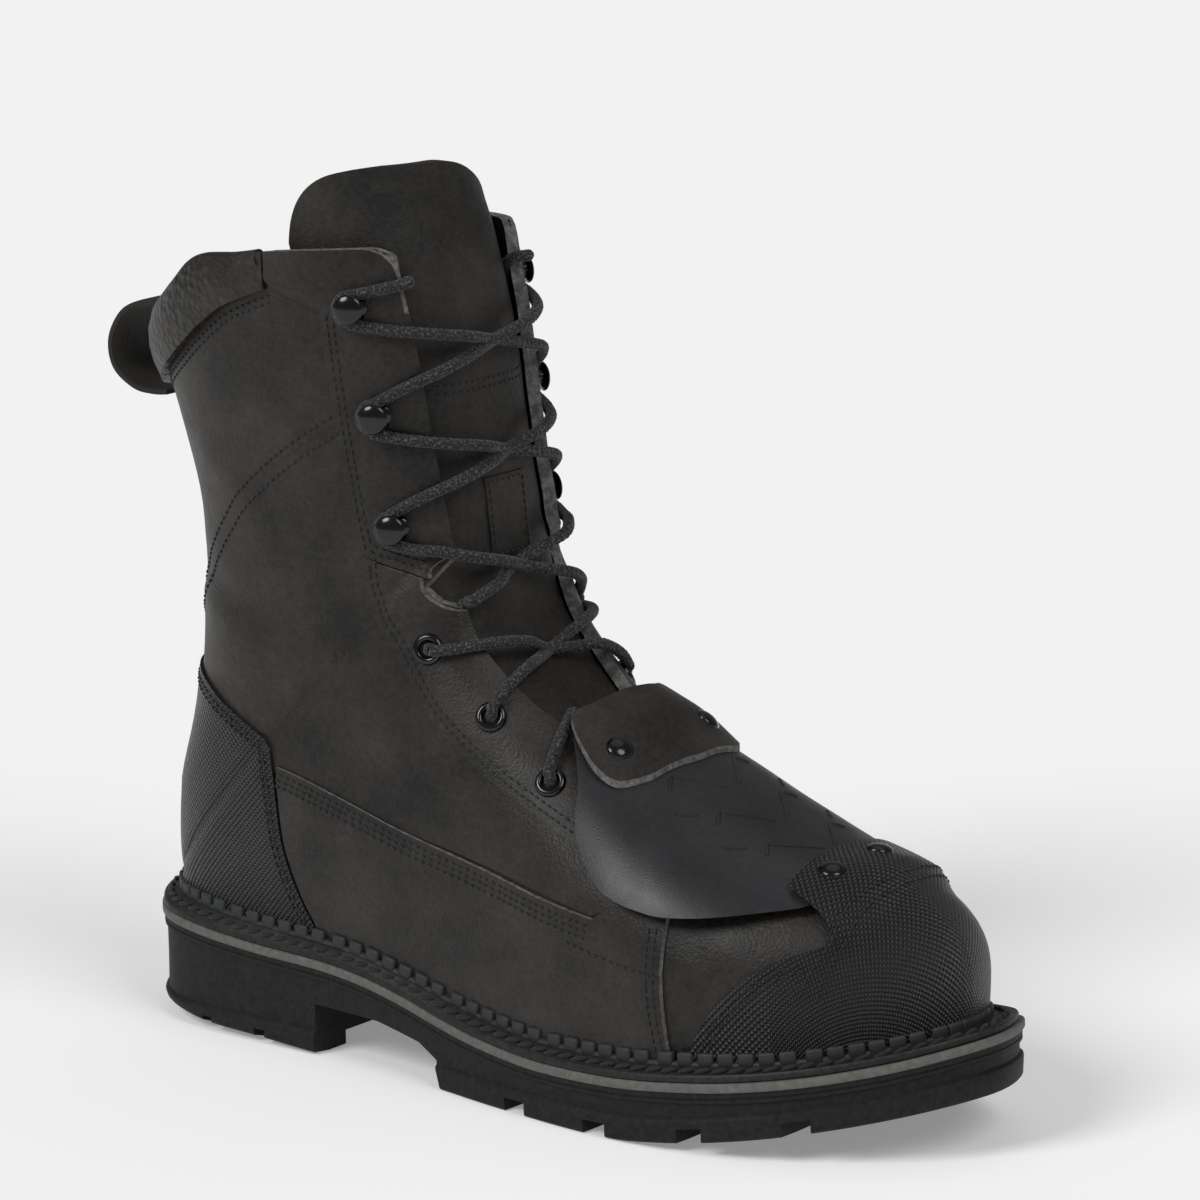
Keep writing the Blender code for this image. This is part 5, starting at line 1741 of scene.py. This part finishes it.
class BootColours(bpy.types.PropertyGroup):
    """The colours of the boot's finishes."""

    leather: colour("Leather", "Oiled leather in the dark parts", (0.0042, 0.0039, 0.0036))
    leather_worn: colour("Worn leather", "Oiled leather where it is rubbed", (0.032, 0.027, 0.0225))
    guard: colour("Guard", "Smooth cover of the instep guard", (0.0125, 0.013, 0.0142))
    guard_worn: colour("Worn guard", "Cover of the guard where it is rubbed", (0.024, 0.025, 0.027))
    fabric: colour("Fabric ground", "Ballistic fabric between its dots", (0.004, 0.004, 0.0042))
    fabric_dots: colour("Fabric dots", "Raised dots of the ballistic fabric", (0.034, 0.035, 0.036))
    # Cut edges: partly their own lighter fuzz, partly a painted highlight where the edges catch the light
    raw_edge: colour("Raw edge", "Cut edges of the leather", (0.075, 0.073, 0.07))
    raw_edge_fuzz_and_highlight: colour("Light raw edge", "Cut edges where they are rubbed", (0.26, 0.25, 0.24))
    rubber: colour("Sole", "Outsole rubber", (0.0032, 0.0034, 0.0034))
    rubber_dust: colour("Sole specks", "Specks in the outsole rubber", (0.015, 0.016, 0.016))
    welt: colour("Welt", "Rubber welt and rib", (0.008, 0.0085, 0.0085))
    welt_dust: colour("Welt specks", "Specks in the welt", (0.028, 0.029, 0.029))
    rib: colour("Rib", "Cogs of the notched rib", (0.030, 0.032, 0.034))
    strip: colour("Strip", "Light strip over the sole", (0.10, 0.094, 0.087))
    strip_dust: colour("Strip specks", "Specks in the strip", (0.16, 0.152, 0.142))
    lining: colour("Lining", "Lining of the shaft", (0.012, 0.012, 0.012))
    webbing: colour("Webbing", "Pull loop", (0.004, 0.004, 0.004))
    metal: colour("Metal", "Hooks, eyelets and rivets", (0.022, 0.022, 0.024))
    thread: colour("Thread", "Sewing thread", (0.006, 0.006, 0.006))
    thread_light: colour("Thread flecks", "Sewing thread where it shines", (0.06, 0.058, 0.055))
    lace: colour("Lace", "Braided lace", (0.004, 0.004, 0.004))
    lace_fleck: colour("Lace flecks", "Grey yarn in the lace", (0.10, 0.098, 0.095))


class BootSizes(bpy.types.PropertyGroup):
    """The sizes of the boot's sewing and laces."""

    stitch_pitch: length("Stitch pitch", "From one stitch to the next", 2.5, 2.0, 6.0)
    welt_pitch: length("Welt stitch pitch", "From one stitch of the welt to the next", 5.4, 4.0, 9.0)
    lace_radius: length("Lace radius", "Half the lace's width", LACE_R, 1.2, 2.4)


# The operators


class BOOT_OT_upper(bpy.types.Operator):
    """The leather upper: one shell from toe to collar, open at the throat and the top, with its lining"""

    bl_idname = "boot.upper"
    bl_label = "Upper"

    def execute(self, context):
        upper = piece("upper_shell", upper_surface(), finish("oiled_leather"))
        upper.data.materials.append(finish("lining"))
        upper.data.materials.append(finish("raw_edge"))
        wall = thicken(upper, WALL, -1.0).modifiers["wall"]
        wall.material_offset = 1
        wall.material_offset_rim = 2
        over = rim_line(-80, 120) + [(120, 330), (-80, 330)]
        cutters = []
        outlines = {"above_rim": over, "throat_notch": THROAT_NOTCH, "front_corner": FRONT_CORNER}
        for k, (name, outline) in enumerate(outlines.items()):
            reach = PATTERN_REACH - k
            cutters.append(prism(name, outline, -reach, reach, look=finish("raw_edge")))
            combine(upper, cutters[-1], "DIFFERENCE")
        applied(upper, cutters)
        finished(upper, "oiled_leather", "upper")
        for k, side in enumerate(SIDES.values()):
            sides = half_of(side)
            panel = overlay(f"shaft_panel_{k}", SHAFT_PANEL, upper_surface(), PANEL_THICK, sides)
            finished(panel, "oiled_leather")
        return {"FINISHED"}


class BOOT_OT_fabric_parts(bpy.types.Operator):
    """The woven toe cap with its tab over the guard, and the woven heel counter"""

    bl_idname = "boot.fabric_parts"
    bl_label = "Toe cap and heel counter"

    def execute(self, context):
        outline = curved(CAP_EDGE[1:], CAP_NOTCH + CAP_TAB[:3], CAP_TAB[3:-1])
        outline = above_rib(outline, 300, 194)
        cap = overlay(
            "cap_fabric", outline, upper_surface(cap_offset), CAP_WALL, edge="dark_edge",
            look="ballistic_fabric",
        )
        map_toe(cap)
        finished(cap, "ballistic_fabric", "toe_cap")
        outline = above_rib(curved(COUNTER_EDGE[1:]) + curved(COUNTER_FRONT), 41.8, -70)
        counter = overlay(
            "counter_fabric", outline, upper_surface(lambda p: OVERLAY_GAP), CAP_WALL, edge="dark_edge",
            look="ballistic_fabric",
        )
        map_heel(counter)
        finished(counter, "ballistic_fabric", "heel_counter")
        return {"FINISHED"}


class BOOT_OT_overlays(bpy.types.Operator):
    """The facings, eyestays and lower quarters on both sides"""

    bl_idname = "boot.overlays"
    bl_label = "Facings, eyestays and quarters"

    def execute(self, context):
        surface = upper_surface(lambda p: OVERLAY_GAP)
        facing = curved(FACING_BACK[:3], FACING_BACK[2:], FACING_FOOT[:4], FACING_FOOT[3:])
        facing += rim_line(120, 34.2)
        eyestay = curved(EYESTAY_BACK, EYESTAY_FRONT[:3], EYESTAY_FRONT[2:]) + curved(EYESTAY_HEAD)
        quarter = above_rib(curved(QUARTER_TOP, QUARTER_FRONT[:3], QUARTER_FRONT[2:-1]), 188.4, 43)
        quarter += curved(QUARTER_REAR)
        for name, side in SIDES.items():
            sides = half_of(side)
            made = overlay(f"facing_leather_{name}", facing, surface.copy(), OVERLAY, sides)
            corner = prism("corner", FRONT_CORNER, -CORNER_REACH, CORNER_REACH, look=finish("raw_edge"))
            combine(made, corner, "DIFFERENCE")
            applied(made, [corner])
            finished(made, "oiled_leather", f"facing_{name}")
            made = overlay(f"eyestay_leather_{name}", eyestay, surface.copy(), OVERLAY, sides)
            finished(made, "oiled_leather", f"eyestay_{name}")
            made = overlay(f"quarter_leather_{name}", quarter, surface.copy(), OVERLAY, sides)
            finished(made, "oiled_leather", f"quarter_{name}")
        surface.free()
        return {"FINISHED"}


class BOOT_OT_collar(bpy.types.Operator):
    """The padded collar: a pebbled pad with a rolled top"""

    bl_idname = "boot.collar"
    bl_label = "Collar"

    def execute(self, context):
        outline = curved(COLLAR_LINE) + rim_line(33.7, -80)
        pad = overlay(
            "collar_leather", outline, upper_surface(pad_offset), COLLAR_PAD, edge="pebbled_leather",
            look="pebbled_leather",
        )
        roll, _ = rolled_rim(PAD_FRONT)
        whole = bmesh.new()
        whole.from_mesh(pad.data)
        add_to(whole, cleaned(roll))
        whole.to_mesh(pad.data)
        whole.free()
        smooth_shaded(pad, 50)
        finished(pad, "pebbled_leather", "collar_pad")
        return {"FINISHED"}


class BOOT_OT_guard(bpy.types.Operator):
    """The instep guard with its shallow moulded ribs, and the leather flap riveted over its rear end"""

    bl_idname = "boot.guard"
    bl_label = "Guard and flap"

    def execute(self, context):
        outline = curved(GUARD_REAR[:2], GUARD_REAR[1:] + GUARD_EDGE + GUARD_FRONT[:2], GUARD_FRONT[1:])
        guard = overlay("guard_plate", outline, guard_surface(), GUARD_THICK, look="guard_cover")
        tree = tree_of(guard)
        bm = bmesh.new()
        bm.from_mesh(guard.data)
        for x in GUARD_RIBS:
            for side in SIDES.values():
                for a, b in GUARD_RIB:
                    line = [Vector((x + a[0], side * a[1])), Vector((x + b[0], side * b[1]))]
                    ridge(bm, on_top(tree, line), GUARD_RIB_WIDTH, GUARD_RIB_HEIGHT)
        bm.to_mesh(guard.data)
        bm.free()
        smooth_shaded(guard, 40)
        finished(guard, "guard_cover", "met_guard")
        half = curved(FLAP_FRONT + FLAP_REAR[:4], FLAP_REAR[3:])
        flap = half + [(x, -y) for x, y in reversed(half[1:-1])]
        lifted = guard_surface(lambda p: GUARD_THICK + 0.1 + FLAP_RISE * (1 - step(*FLAP_LIFTS, p.x)))
        made = overlay("flap_leather", flap, lifted, FLAP_THICK, FLAP_CUT, "above")
        finished(made, "oiled_leather", "guard_flap")
        return {"FINISHED"}


class BOOT_OT_tongue(bpy.types.Operator):
    """The wide tongue inside the throat, with a plain sewn patch, and the webbing loop behind the collar"""

    bl_idname = "boot.tongue"
    bl_label = "Tongue and pull loop"

    def execute(self, context):
        rows = SECTIONS[TONGUE_ROWS] + TONGUE_SECTIONS
        inside = WALL + TONGUE_GAP
        parts = [
            lofted(rows, side, 0.0, TONGUE_SPANS, TONGUE_ACROSS, TONGUE_PER_SPAN, flowing)
            for side in SIDES.values()
        ]
        bm = push_out(turn_towards(joined(parts), Vector((1, 0, 0.2))), lambda p: -inside)
        tongue = piece("tongue_leather", bm, finish("tongue_leather"))
        thicken(tongue, TONGUE_THICK, -1.0).modifiers["wall"].use_even_offset = False
        soft = tongue.modifiers.new("soft", "SUBSURF")
        soft.levels = soft.render_levels = 1
        edge = finish("dark_edge")
        outline = [(30, 60), (180, 60), (180, 282)] + curved(TONGUE_TOP)[::-1]
        side_cut = prism("tongue_side", outline, -60, 60, look=edge)
        lean = [(60, 50), (60, 255)] + curved(TONGUE_LEAN)[::-1] + [(-60, 277), (-60, 50)]
        front_cut = prism("tongue_front", lean, 20, 200, "front", edge)
        for cutter in (side_cut, front_cut):
            combine(tongue, cutter, "INTERSECT")
        applied(tongue, [side_cut, front_cut], sharp=60)
        finished(tongue, "tongue_leather", "tongue")
        tree = tree_of(tongue)
        patch = laid_patch(tree, PATCH, PATCH_THICK)
        smooth_shaded(patch, 35)
        finished(patch, "tongue_leather")

        line = [Vector((x, 0, z)) for x, z in catmull([Vector(p) for p in PULL_ROUTE], 6)]
        count = len(line) - 1
        bm = grid(count, 6, lambda u, v: line[round(u * count)] + Vector((0, PULL_HALF * (2 * v - 1), 0)))
        loop = thicken(piece("pull_webbing", cleaned(bm), finish("webbing")), PULL_THICK, 0.0)
        applied(loop, sharp=50)
        finished(loop, "webbing", "pull_loop")
        return {"FINISHED"}


class BOOT_OT_sewing(bpy.types.Operator):
    """The rows of stitches along every seam"""

    bl_idname = "boot.sewing"
    bl_label = "Sewing"

    def execute(self, context):
        shared = ["upper_shell", "cap_fabric", "counter_fabric", "collar_leather", "tongue_leather"]
        for k, (name, side) in enumerate(SIDES.items()):
            leather_names = [f"facing_leather_{name}", f"eyestay_leather_{name}", f"quarter_leather_{name}"]
            tree = tree_over(*shared, *leather_names, f"shaft_panel_{k}")
            bm = bmesh.new()
            for seam, insets in SEAMS:
                line = path(seam)
                for inset in insets:
                    stitches(bm, on_side(tree, parallel(line, inset), side))
            leathers = tree_over(*leather_names)
            for first, last, inset in THROAT_ROWS:
                stitches(bm, nearest(leathers, throat_line(side, first, last, inset)))
            sewn = smooth_shaded(piece(f"sewing_{name}", bm, finish("thread")), 80)
            finished(sewn, "lace_cord")
        bm = bmesh.new()
        cap = tree_over("cap_fabric")
        for inset in CAP_SEAM_ROWS:
            line = [Vector((x - inset, y)) for x, y in CAP_SEAM]
            stitches(bm, on_top(cap, path(line)))
        tongue = tree_over("tongue_leather")
        for inset in TONGUE_SEAM_ROWS:
            line = [Vector((FAR_OUT, y, TONGUE_SEAM_Z + inset)) for y in range(*TONGUE_SEAM)]
            stitches(bm, from_front(tongue, line))
        patch = tree_over("patch_leather")
        line = [Vector((FAR_OUT, y, z)) for y, z in inset_patch(PATCH, PATCH_SEAM)]
        stitches(bm, from_front(patch, line), PATCH_PITCH)
        sewn = smooth_shaded(piece("sewing_top", bm, finish("thread")), 80)
        finished(sewn, "lace_cord")
        return {"FINISHED"}


class BOOT_OT_sole(bpy.types.Operator):
    """The lugged rubber sole and the light strip over it"""

    bl_idname = "boot.sole"
    bl_label = "Sole"

    def execute(self, context):
        top = lambda x: strip_top(x) - STRIP_THICK
        lugs = lambda x: ground(x) + LUG_DEPTH
        levels = [
            (0.7, lambda x: top(x) - 0.05),
            (0.7, lambda x: top(x) - 1.5),
            (1.0, lambda x: top(x) - 1.7),
            (1.0, lambda x: top(x) - 2.0),
            (0.7, lambda x: top(x) - 2.2),
            (0.7, lambda x: top(x) - 3.2),
            (1.5, lambda x: top(x) - 3.7),
            (1.6, lambda x: (top(x) - 3.7) * 0.5 + (lugs(x) + 3.4) * 0.5),
            (1.5, lambda x: lugs(x) + 3.4),
            (0.5, lambda x: lugs(x) + 2.6),
            (0.3, lambda x: lugs(x) + 2.0),
            (0.5, lambda x: ground(x) + smooth(EDGE_RISE, x) + 0.6),
            (1.0, lambda x: ground(x) + smooth(EDGE_RISE, x)),
            (8.0, ground),
        ]
        sole = ring_solid("sole_lugged", levels, finish("sole_rubber"))
        arch = prism("arch_space", ARCH, -90, 90, "side", finish("sole_rubber"))
        tread = tread_cutter()
        combine(sole, arch, "DIFFERENCE")
        combine(sole, tread, "DIFFERENCE")
        applied(sole, [arch, tread], sharp=35)
        finished(sole, "sole_rubber", "outsole")
        levels = [
            (0.9, strip_top),
            (0.25, lambda x: strip_top(x) - 0.15),
            (0.0, lambda x: strip_top(x) - 0.6),
            (0.0, lambda x: strip_top(x) - STRIP_THICK + 0.6),
            (0.25, lambda x: strip_top(x) - STRIP_THICK + 0.15),
            (0.9, lambda x: strip_top(x) - STRIP_THICK),
        ]
        strip = smooth_shaded(ring_solid("sole_strip", levels, finish("midsole_strip")), 50)
        finished(strip, "midsole_strip", "midsole_strip")
        return {"FINISHED"}


class BOOT_OT_welt(bpy.types.Operator):
    """The welt with its coarse stitches, and the notched rib against the upper"""

    bl_idname = "boot.welt"
    bl_label = "Welt and rib"

    def execute(self, context):
        stations = walls(WELT_STATIONS)
        rings = [[] for _ in range(10)]
        for p, outward, wall in stations:
            edge = p - outward * smooth(WELT_INSET, p.x)
            slope = wall + outward * WELT_FOOT
            foot = rib_foot(slope.x)
            middle = edge.lerp(slope, 0.5)
            flat = strip_top(edge.x) + WELT_EDGE
            inner = wall - outward * WELT_DEPTH
            points = [
                raised(edge - outward * 0.5, strip_top(edge.x) + 0.02),
                raised(edge, strip_top(edge.x) + 0.4),
                raised(edge, flat - 0.7),
                raised(edge - outward * 0.5, flat - 0.1),
                raised(middle, (flat + foot) / 2 - 0.4),
                raised(slope + outward * 0.3, foot - 0.1),
                raised(slope - outward * 0.6, foot + 0.35),
                raised(wall + outward * WELT_CREASE, foot + 0.35),
                raised(inner, strip_top(inner.x) + WELT_EDGE),
                raised(inner, strip_top(inner.x) + 0.02),
            ]
            for ring, q in zip(rings, points):
                ring.append(q)
        band = smooth_shaded(piece("welt_band", cleaned(wrapped(rings, True)), finish("welt_rubber")), 45)
        finished(band, "welt_rubber", "welt")

        rib = bmesh.new()
        low = [[] for _ in range(6)]
        for _, outward, wall in stations:
            inner, rim = wall + outward * 0.1, wall + outward * (RIB_GAP + RIB_THICK)
            foot = rib_foot(wall.x)
            points = [
                raised(inner, foot - 0.4),
                raised(inner, foot + COG_LOW + 0.5),
                raised(rim - outward * 0.9, foot + COG_LOW + 0.4),
                raised(rim - outward * 0.2, foot + COG_LOW - 0.1),
                raised(rim, foot + 0.3),
                raised(rim, foot - 0.4),
            ]
            for ring, q in zip(low, points):
                ring.append(q)
        rib = wrapped(low, True)
        outline_length = sum((OUTLINE[i - 1] - OUTLINE[i]).length for i in range(len(OUTLINE)))
        cogs = round(outline_length / COG_PITCH)
        for k in range(cogs):
            at = stations[round(k * len(stations) / cogs) % len(stations)]
            after = stations[(round(k * len(stations) / cogs) + 2) % len(stations)]
            add_cog(rib, at, after)
        made = smooth_shaded(piece("rib_notched", cleaned(rib, 0.005), finish("rib_rubber")), 50)
        finished(made, "welt_rubber", "storm_rib")

        bm = bmesh.new()
        hits = []
        for p, outward, wall in stations + stations[:1]:
            edge = p - outward * smooth(WELT_INSET, p.x)
            slope = wall + outward * WELT_FOOT
            middle = edge.lerp(slope, 0.5)
            z = (strip_top(edge.x) + WELT_EDGE + rib_foot(slope.x)) / 2
            up = Vector((0, 0, 1)) + Vector((*outward, 0)) * 0.8
            hits.append((raised(middle, z), up.normalized()))
        fine = []
        for (a, na), (b, nb) in zip(hits, hits[1:]):
            fine += [(a.lerp(b, t / 4), na.lerp(nb, t / 4).normalized()) for t in range(4)]
        pitch = context.scene.boot_sizes.welt_pitch / MM
        twisted(bm, fine, pitch, WELT_STITCH)
        sewn = smooth_shaded(piece("welt_sewing", bm, finish("thread")), 80)
        finished(sewn, "lace_cord")
        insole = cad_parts["insole"]
        for slot in insole.material_slots:
            slot.material = finish("lining")
        return {"FINISHED"}


class BOOT_OT_hardware(bpy.types.Operator):
    """The speed hooks, eyelets and rivets"""

    bl_idname = "boot.hardware"
    bl_label = "Hooks, eyelets and rivets"

    def execute(self, context):
        turns = turns_of_lace()
        for name, side in SIDES.items():
            for k in range(1, 4):
                point, normal = turns["hook", side, k]
                bm = standing(spun(HOOK_PROFILE), point, normal)
                hook = smooth_shaded(piece(f"hook_turned_{name}_{k}", bm, finish("black_metal")), 45)
                finished(hook, "black_metal", f"hook_{name}_{k}")
                point, normal = turns["eyelet", side, k]
                bm = standing(spun(EYELET_PROFILE), point, normal)
                eyelet = smooth_shaded(piece(f"eyelet_rolled_{name}_{k}", bm, finish("black_metal")), 45)
                # A near-black disc just over the leather in the eyelet's bore: painted shade where the hole
                # looks into the boot
                disc = bmesh.new()
                bore = EYELET_BORE * SHADE_DISC_WIDER * MM
                bmesh.ops.create_circle(disc, cap_ends=True, segments=24, radius=bore)
                bmesh.ops.translate(disc, verts=disc.verts, vec=(0, 0, SHADE_DISC_RISE * MM))
                painted_hole_shade = piece(f"eyelet_shade_disc_{name}_{k}", standing(disc, point, normal), finish("painted_hole_shade"))
                finished(eyelet, "black_metal", f"eyelet_{name}_{k}")
                finished(painted_hole_shade, "lining")
        for label, host, spots in (("flap", "flap_leather", FLAP_RIVETS), ("cap", "cap_fabric", CAP_RIVETS)):
            tree = tree_over(host)
            for name, (x, y) in zip(SIDES, spots):
                hit, normal, _, _ = tree.ray_cast(Vector((x, y, 2 * FAR_OUT)) * MM, Vector((0, 0, -1)))
                normal = normal if normal.z > 0 else -normal
                bm = standing(spun(RIVET_PROFILE), hit / MM, normal)
                rivet = smooth_shaded(piece(f"rivet_domed_{label}_{name}", bm, finish("black_metal")), 60)
                finished(rivet, "black_metal", f"rivet_{label}_{name}")
        return {"FINISHED"}


class BOOT_OT_laces(bpy.types.Operator):
    """The braided laces, round the hooks and through the eyelets, with their ends hidden inside"""

    bl_idname = "boot.laces"
    bl_label = "Laces"

    def execute(self, context):
        turns = turns_of_lace()
        closed = upper_surface(start=0.0)
        skin = BVHTree.FromBMesh(closed)
        closed.free()
        radius = context.scene.boot_sizes.lace_radius / MM
        for name, runs in LACES.items():
            whole = bmesh.new()
            start = 0.0
            for stops in runs:
                bm, count = tube(lace_route(skin, turns, stops), radius)
                along_lace(bm, count, LACE_SIDES, start)
                start += count * LACE_STEP
                add_to(whole, bm)
            strand = smooth_shaded(piece(name + "_braided", cleaned(whole, 0.004), finish("lace_cord")), 80)
            finished(strand, "lace_cord", name)
        return {"FINISHED"}


class BOOT_OT_stage(bpy.types.Operator):
    """The pale floor and background, the soft lights and the camera"""

    bl_idname = "boot.stage"
    bl_label = "Stage"

    def execute(self, context):
        scene = context.scene
        bm = bmesh.new()
        bmesh.ops.create_grid(bm, x_segments=1, y_segments=1, size=FLOOR_HALF)
        floor = piece("floor", bm, finish("floor_pale"))

        world = bpy.data.worlds.new("studio")
        scene.world = world
        world.use_nodes = True
        nodes, links = world.node_tree.nodes, world.node_tree.links
        lit = nodes["Background"]
        lit.inputs["Color"].default_value = (*PALE, 1)
        lit.inputs["Strength"].default_value = ROOM_LIGHT
        seen = nodes.new("ShaderNodeBackground")
        seen.inputs["Color"].default_value = (*PALE, 1)
        mix = nodes.new("ShaderNodeMixShader")
        links.new(nodes.new("ShaderNodeLightPath").outputs["Is Camera Ray"], mix.inputs["Fac"])
        links.new(lit.outputs["Background"], mix.inputs[1])
        links.new(seen.outputs["Background"], mix.inputs[2])
        links.new(mix.outputs["Shader"], nodes["World Output"].inputs["Surface"])
        scene.view_settings.view_transform = "Standard"

        for sun in SUNS:
            lamp = bpy.data.lights.new(sun.name, "SUN")
            lamp.energy = sun.strength
            lamp.angle = math.radians(sun.width)
            obj = bpy.data.objects.new(sun.name, lamp)
            scene.collection.objects.link(obj)
            obj.rotation_euler = Vector(sun.towards).to_track_quat("Z", "Y").to_euler()

        turn, rise, roll = (math.radians(a) for a in (CAMERA.turn, CAMERA.rise, CAMERA.roll))
        back = Vector((math.sin(turn) * math.cos(rise), -math.cos(turn) * math.cos(rise), math.sin(rise)))
        right = Vector((math.cos(turn), math.sin(turn), 0))
        up = back.cross(right)
        level = right * math.cos(roll) + up * math.sin(roll)
        upright = up * math.cos(roll) - right * math.sin(roll)
        view = Matrix((level, upright, back)).transposed().to_4x4()
        view.translation = Vector(CAMERA.aim) + back * CAMERA.away
        lens = bpy.data.cameras.new("camera")
        lens.sensor_width = CAMERA.sensor
        lens.lens = CAMERA.lens
        lens.clip_end = CLIP_END
        camera = bpy.data.objects.new("camera", lens)
        scene.collection.objects.link(camera)
        camera.matrix_world = view
        scene.camera = camera
        return {"FINISHED"}


class BOOT_PT_panel(bpy.types.Panel):
    """Lists the boot's colours, sizes and pieces"""

    bl_idname = "BOOT_PT_panel"
    bl_label = "Metatarsal guard boot"
    bl_space_type = "VIEW_3D"
    bl_region_type = "UI"
    bl_category = "Boot"

    def draw(self, context):
        for group in (context.scene.boot_sizes, context.scene.boot_colours):
            box = self.layout.box()
            for key in group.__annotations__:
                box.prop(group, key)
        column = self.layout.column()
        for made in OPERATORS:
            column.operator(made.bl_idname)


OPERATORS = (
    BOOT_OT_upper,
    BOOT_OT_fabric_parts,
    BOOT_OT_overlays,
    BOOT_OT_collar,
    BOOT_OT_guard,
    BOOT_OT_tongue,
    BOOT_OT_sewing,
    BOOT_OT_sole,
    BOOT_OT_welt,
    BOOT_OT_hardware,
    BOOT_OT_laces,
    BOOT_OT_stage,
)
CLASSES = (BootColours, BootSizes, *OPERATORS, BOOT_PT_panel)


def register():
    for made in CLASSES:
        bpy.utils.register_class(made)
    bpy.types.Scene.boot_colours = bpy.props.PointerProperty(type=BootColours)
    bpy.types.Scene.boot_sizes = bpy.props.PointerProperty(type=BootSizes)


def unregister():
    del bpy.types.Scene.boot_sizes
    del bpy.types.Scene.boot_colours
    for made in reversed(CLASSES):
        bpy.utils.unregister_class(made)


def main():
    register()
    bpy.ops.boot.upper()
    bpy.ops.boot.fabric_parts()
    bpy.ops.boot.overlays()
    bpy.ops.boot.collar()
    bpy.ops.boot.guard()
    bpy.ops.boot.tongue()
    bpy.ops.boot.sewing()
    bpy.ops.boot.sole()
    bpy.ops.boot.welt()
    bpy.ops.boot.hardware()
    bpy.ops.boot.laces()
    bpy.ops.boot.stage()


if __name__ == "__main__":
    main()
